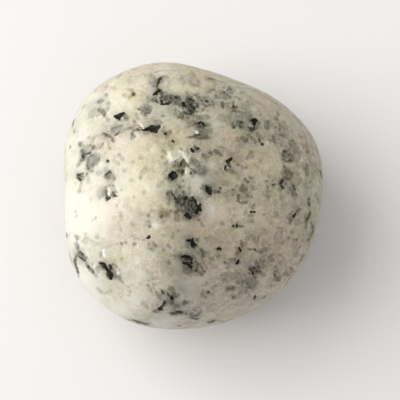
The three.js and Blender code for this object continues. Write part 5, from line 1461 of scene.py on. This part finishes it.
# %% Crystals and chips in the rock
CRYSTAL_RAGGED, CHIP_RAGGED = (7.0, 0.22), (5.0, 0.36)
CRYSTAL_BLACK, CRYSTAL_BROWN = srgb(14, 11, 5), srgb(42, 34, 22)
# the chips' white: broken stone, and painted glints of highlight
CHIP_AND_GLINT_WHITE = srgb(246, 244, 234)

crystal_cover = cover(ragged(painted("crystal_gap"), *CRYSTAL_RAGGED), "crystal")
crystal_colour = blend(fade(uneven, 0.48, 0.66), CRYSTAL_BLACK, CRYSTAL_BROWN)
colour = blend(crystal_cover, colour, crystal_colour)
chip_and_glint_cover = cover(ragged(painted("chip_gap"), *CHIP_RAGGED), "chip")
colour = blend(chip_and_glint_cover, colour, CHIP_AND_GLINT_WHITE)
print("marks done, nodes so far", len(tree.nodes))

# %% [markdown]
# ### Finish
#
# The skin is waxy. It is a little glossier on the crystals and on quartz, rougher in the ground,
# and it has a very fine grain that only takes the edge off the gloss. Light goes a little way
# into the feldspar, so some of it is scattered below the surface.

# %% Finish
SKIN_SMOOTHEST, SKIN_ROUGHEST = 0.46, 0.64
CRYSTAL_GLOSS, QUARTZ_GLOSS = 0.16, 0.6  # taken off the roughness; and the share of it for quartz
FINE_GRAIN_SHARE = 0.25
BUMP_STRENGTH, BUMP_DEPTH = 0.5, 0.05 * MM
SHINE = 0.15
SCATTERED, SCATTER_DEPTH = 0.1, 0.5 * MM
SCATTER_REACH = (1.0, 0.8, 0.55)  # red light goes deepest

gloss = maths("MAXIMUM", crystal_cover, maths("MULTIPLY", quartz_cover, QUARTZ_GLOSS))
skin = fade(noise(3.0, detail=4, roughness=0.6), 0.3, 0.7, SKIN_SMOOTHEST, SKIN_ROUGHEST)
roughness = maths("SUBTRACT", skin, maths("MULTIPLY", gloss, CRYSTAL_GLOSS))
fine_grain = maths("MULTIPLY", noise(9.0, detail=2, roughness=0.5), FINE_GRAIN_SHARE)
height = maths("ADD", noise(2.6, detail=4, roughness=0.6), fine_grain)
bump = node("Bump", {"Strength": BUMP_STRENGTH, "Distance": BUMP_DEPTH, "Height": height})
surface = node("BsdfPrincipled", {"Base Color": colour, "Roughness": roughness,
                                  "Normal": bump.outputs["Normal"]})
surface.inputs["Specular IOR Level"].default_value = SHINE
surface.inputs["Subsurface Weight"].default_value = SCATTERED
surface.inputs["Subsurface Radius"].default_value = SCATTER_REACH
surface.inputs["Subsurface Scale"].default_value = SCATTER_DEPTH
node("OutputMaterial", {"Surface": surface.outputs[0]})
pebble.data.materials.clear()
pebble.data.materials.append(stone_material)
print(len(tree.nodes), "nodes")

# %% [markdown]
# ## Its place in the model
#
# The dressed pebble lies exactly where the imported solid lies, and moves with it. The solid
# itself is no longer shown, because the dressed one takes its place.

# %% Place on the frame
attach(pebble, "root")
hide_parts("stone")
print(pebble.name, "stands in for", CAD_STONE.name)

# %% [markdown]
# ## The set
#
# The pebble lies on pale paper, wide enough to fill the picture from any side. The paper is a
# little off white and quite rough, so it has no highlight, and it throws soft light back at the
# pebble's underside.

# %% Floor
FLOOR_SIZE = 1200 * MM
PAPER_COLOUR = (0.862, 0.848, 0.85, 1)
PAPER_ROUGHNESS = 0.9

bpy.ops.object.select_all(action="DESELECT")
bpy.ops.mesh.primitive_plane_add(size=FLOOR_SIZE, location=(0, 0, 0))
floor = bpy.context.object
floor.name = "floor"
paper = bpy.data.materials.new("paper")
paper.use_nodes = True
paper_shader = paper.node_tree.nodes["Principled BSDF"]
paper_shader.inputs["Base Color"].default_value = PAPER_COLOUR
paper_shader.inputs["Roughness"].default_value = PAPER_ROUGHNESS
floor.data.materials.append(paper)
print("paper", FLOOR_SIZE / MM, "mm wide")

# %% [markdown]
# One large window stands to the left and a little behind. As it is as wide as it is far away, its
# shadow has no edge. The room's own light comes evenly from all round and fills the shadow side.
# Colours are shown as they are, with no film curve over them.

# %% Lights
WINDOW_BEARING = math.radians(163.5)  # from the right of the picture, turning towards its top
WINDOW_ELEVATION = math.radians(43.5)
WINDOW_DISTANCE = 435 * MM
WINDOW_SIZE = 490 * MM
WINDOW_POWER = 2.08  # watts
WINDOW_COLOUR = (1.0, 0.985, 0.96)
ROOM_COLOUR = (1.0, 0.99, 0.98, 1)
ROOM_STRENGTH = 0.52

towards_window = Vector((math.cos(WINDOW_BEARING) * math.cos(WINDOW_ELEVATION),
                         math.sin(WINDOW_BEARING) * math.cos(WINDOW_ELEVATION),
                         math.sin(WINDOW_ELEVATION)))
bpy.ops.object.light_add(type="AREA", location=STONE_MIDDLE + towards_window * WINDOW_DISTANCE)
window = bpy.context.object
window.name = "window"
window.rotation_euler = towards_window.to_track_quat("Z", "Y").to_euler()
window.data.shape = "SQUARE"
window.data.size = WINDOW_SIZE
window.data.energy = WINDOW_POWER
window.data.color = WINDOW_COLOUR

room = bpy.data.worlds.new("room")
bpy.context.scene.world = room
room.use_nodes = True
room_light = room.node_tree.nodes["Background"]
room_light.inputs["Color"].default_value = ROOM_COLOUR
room_light.inputs["Strength"].default_value = ROOM_STRENGTH
bpy.context.scene.view_settings.view_transform = "Standard"
print("window", WINDOW_SIZE / MM, "mm wide,", WINDOW_DISTANCE / MM, "mm away")
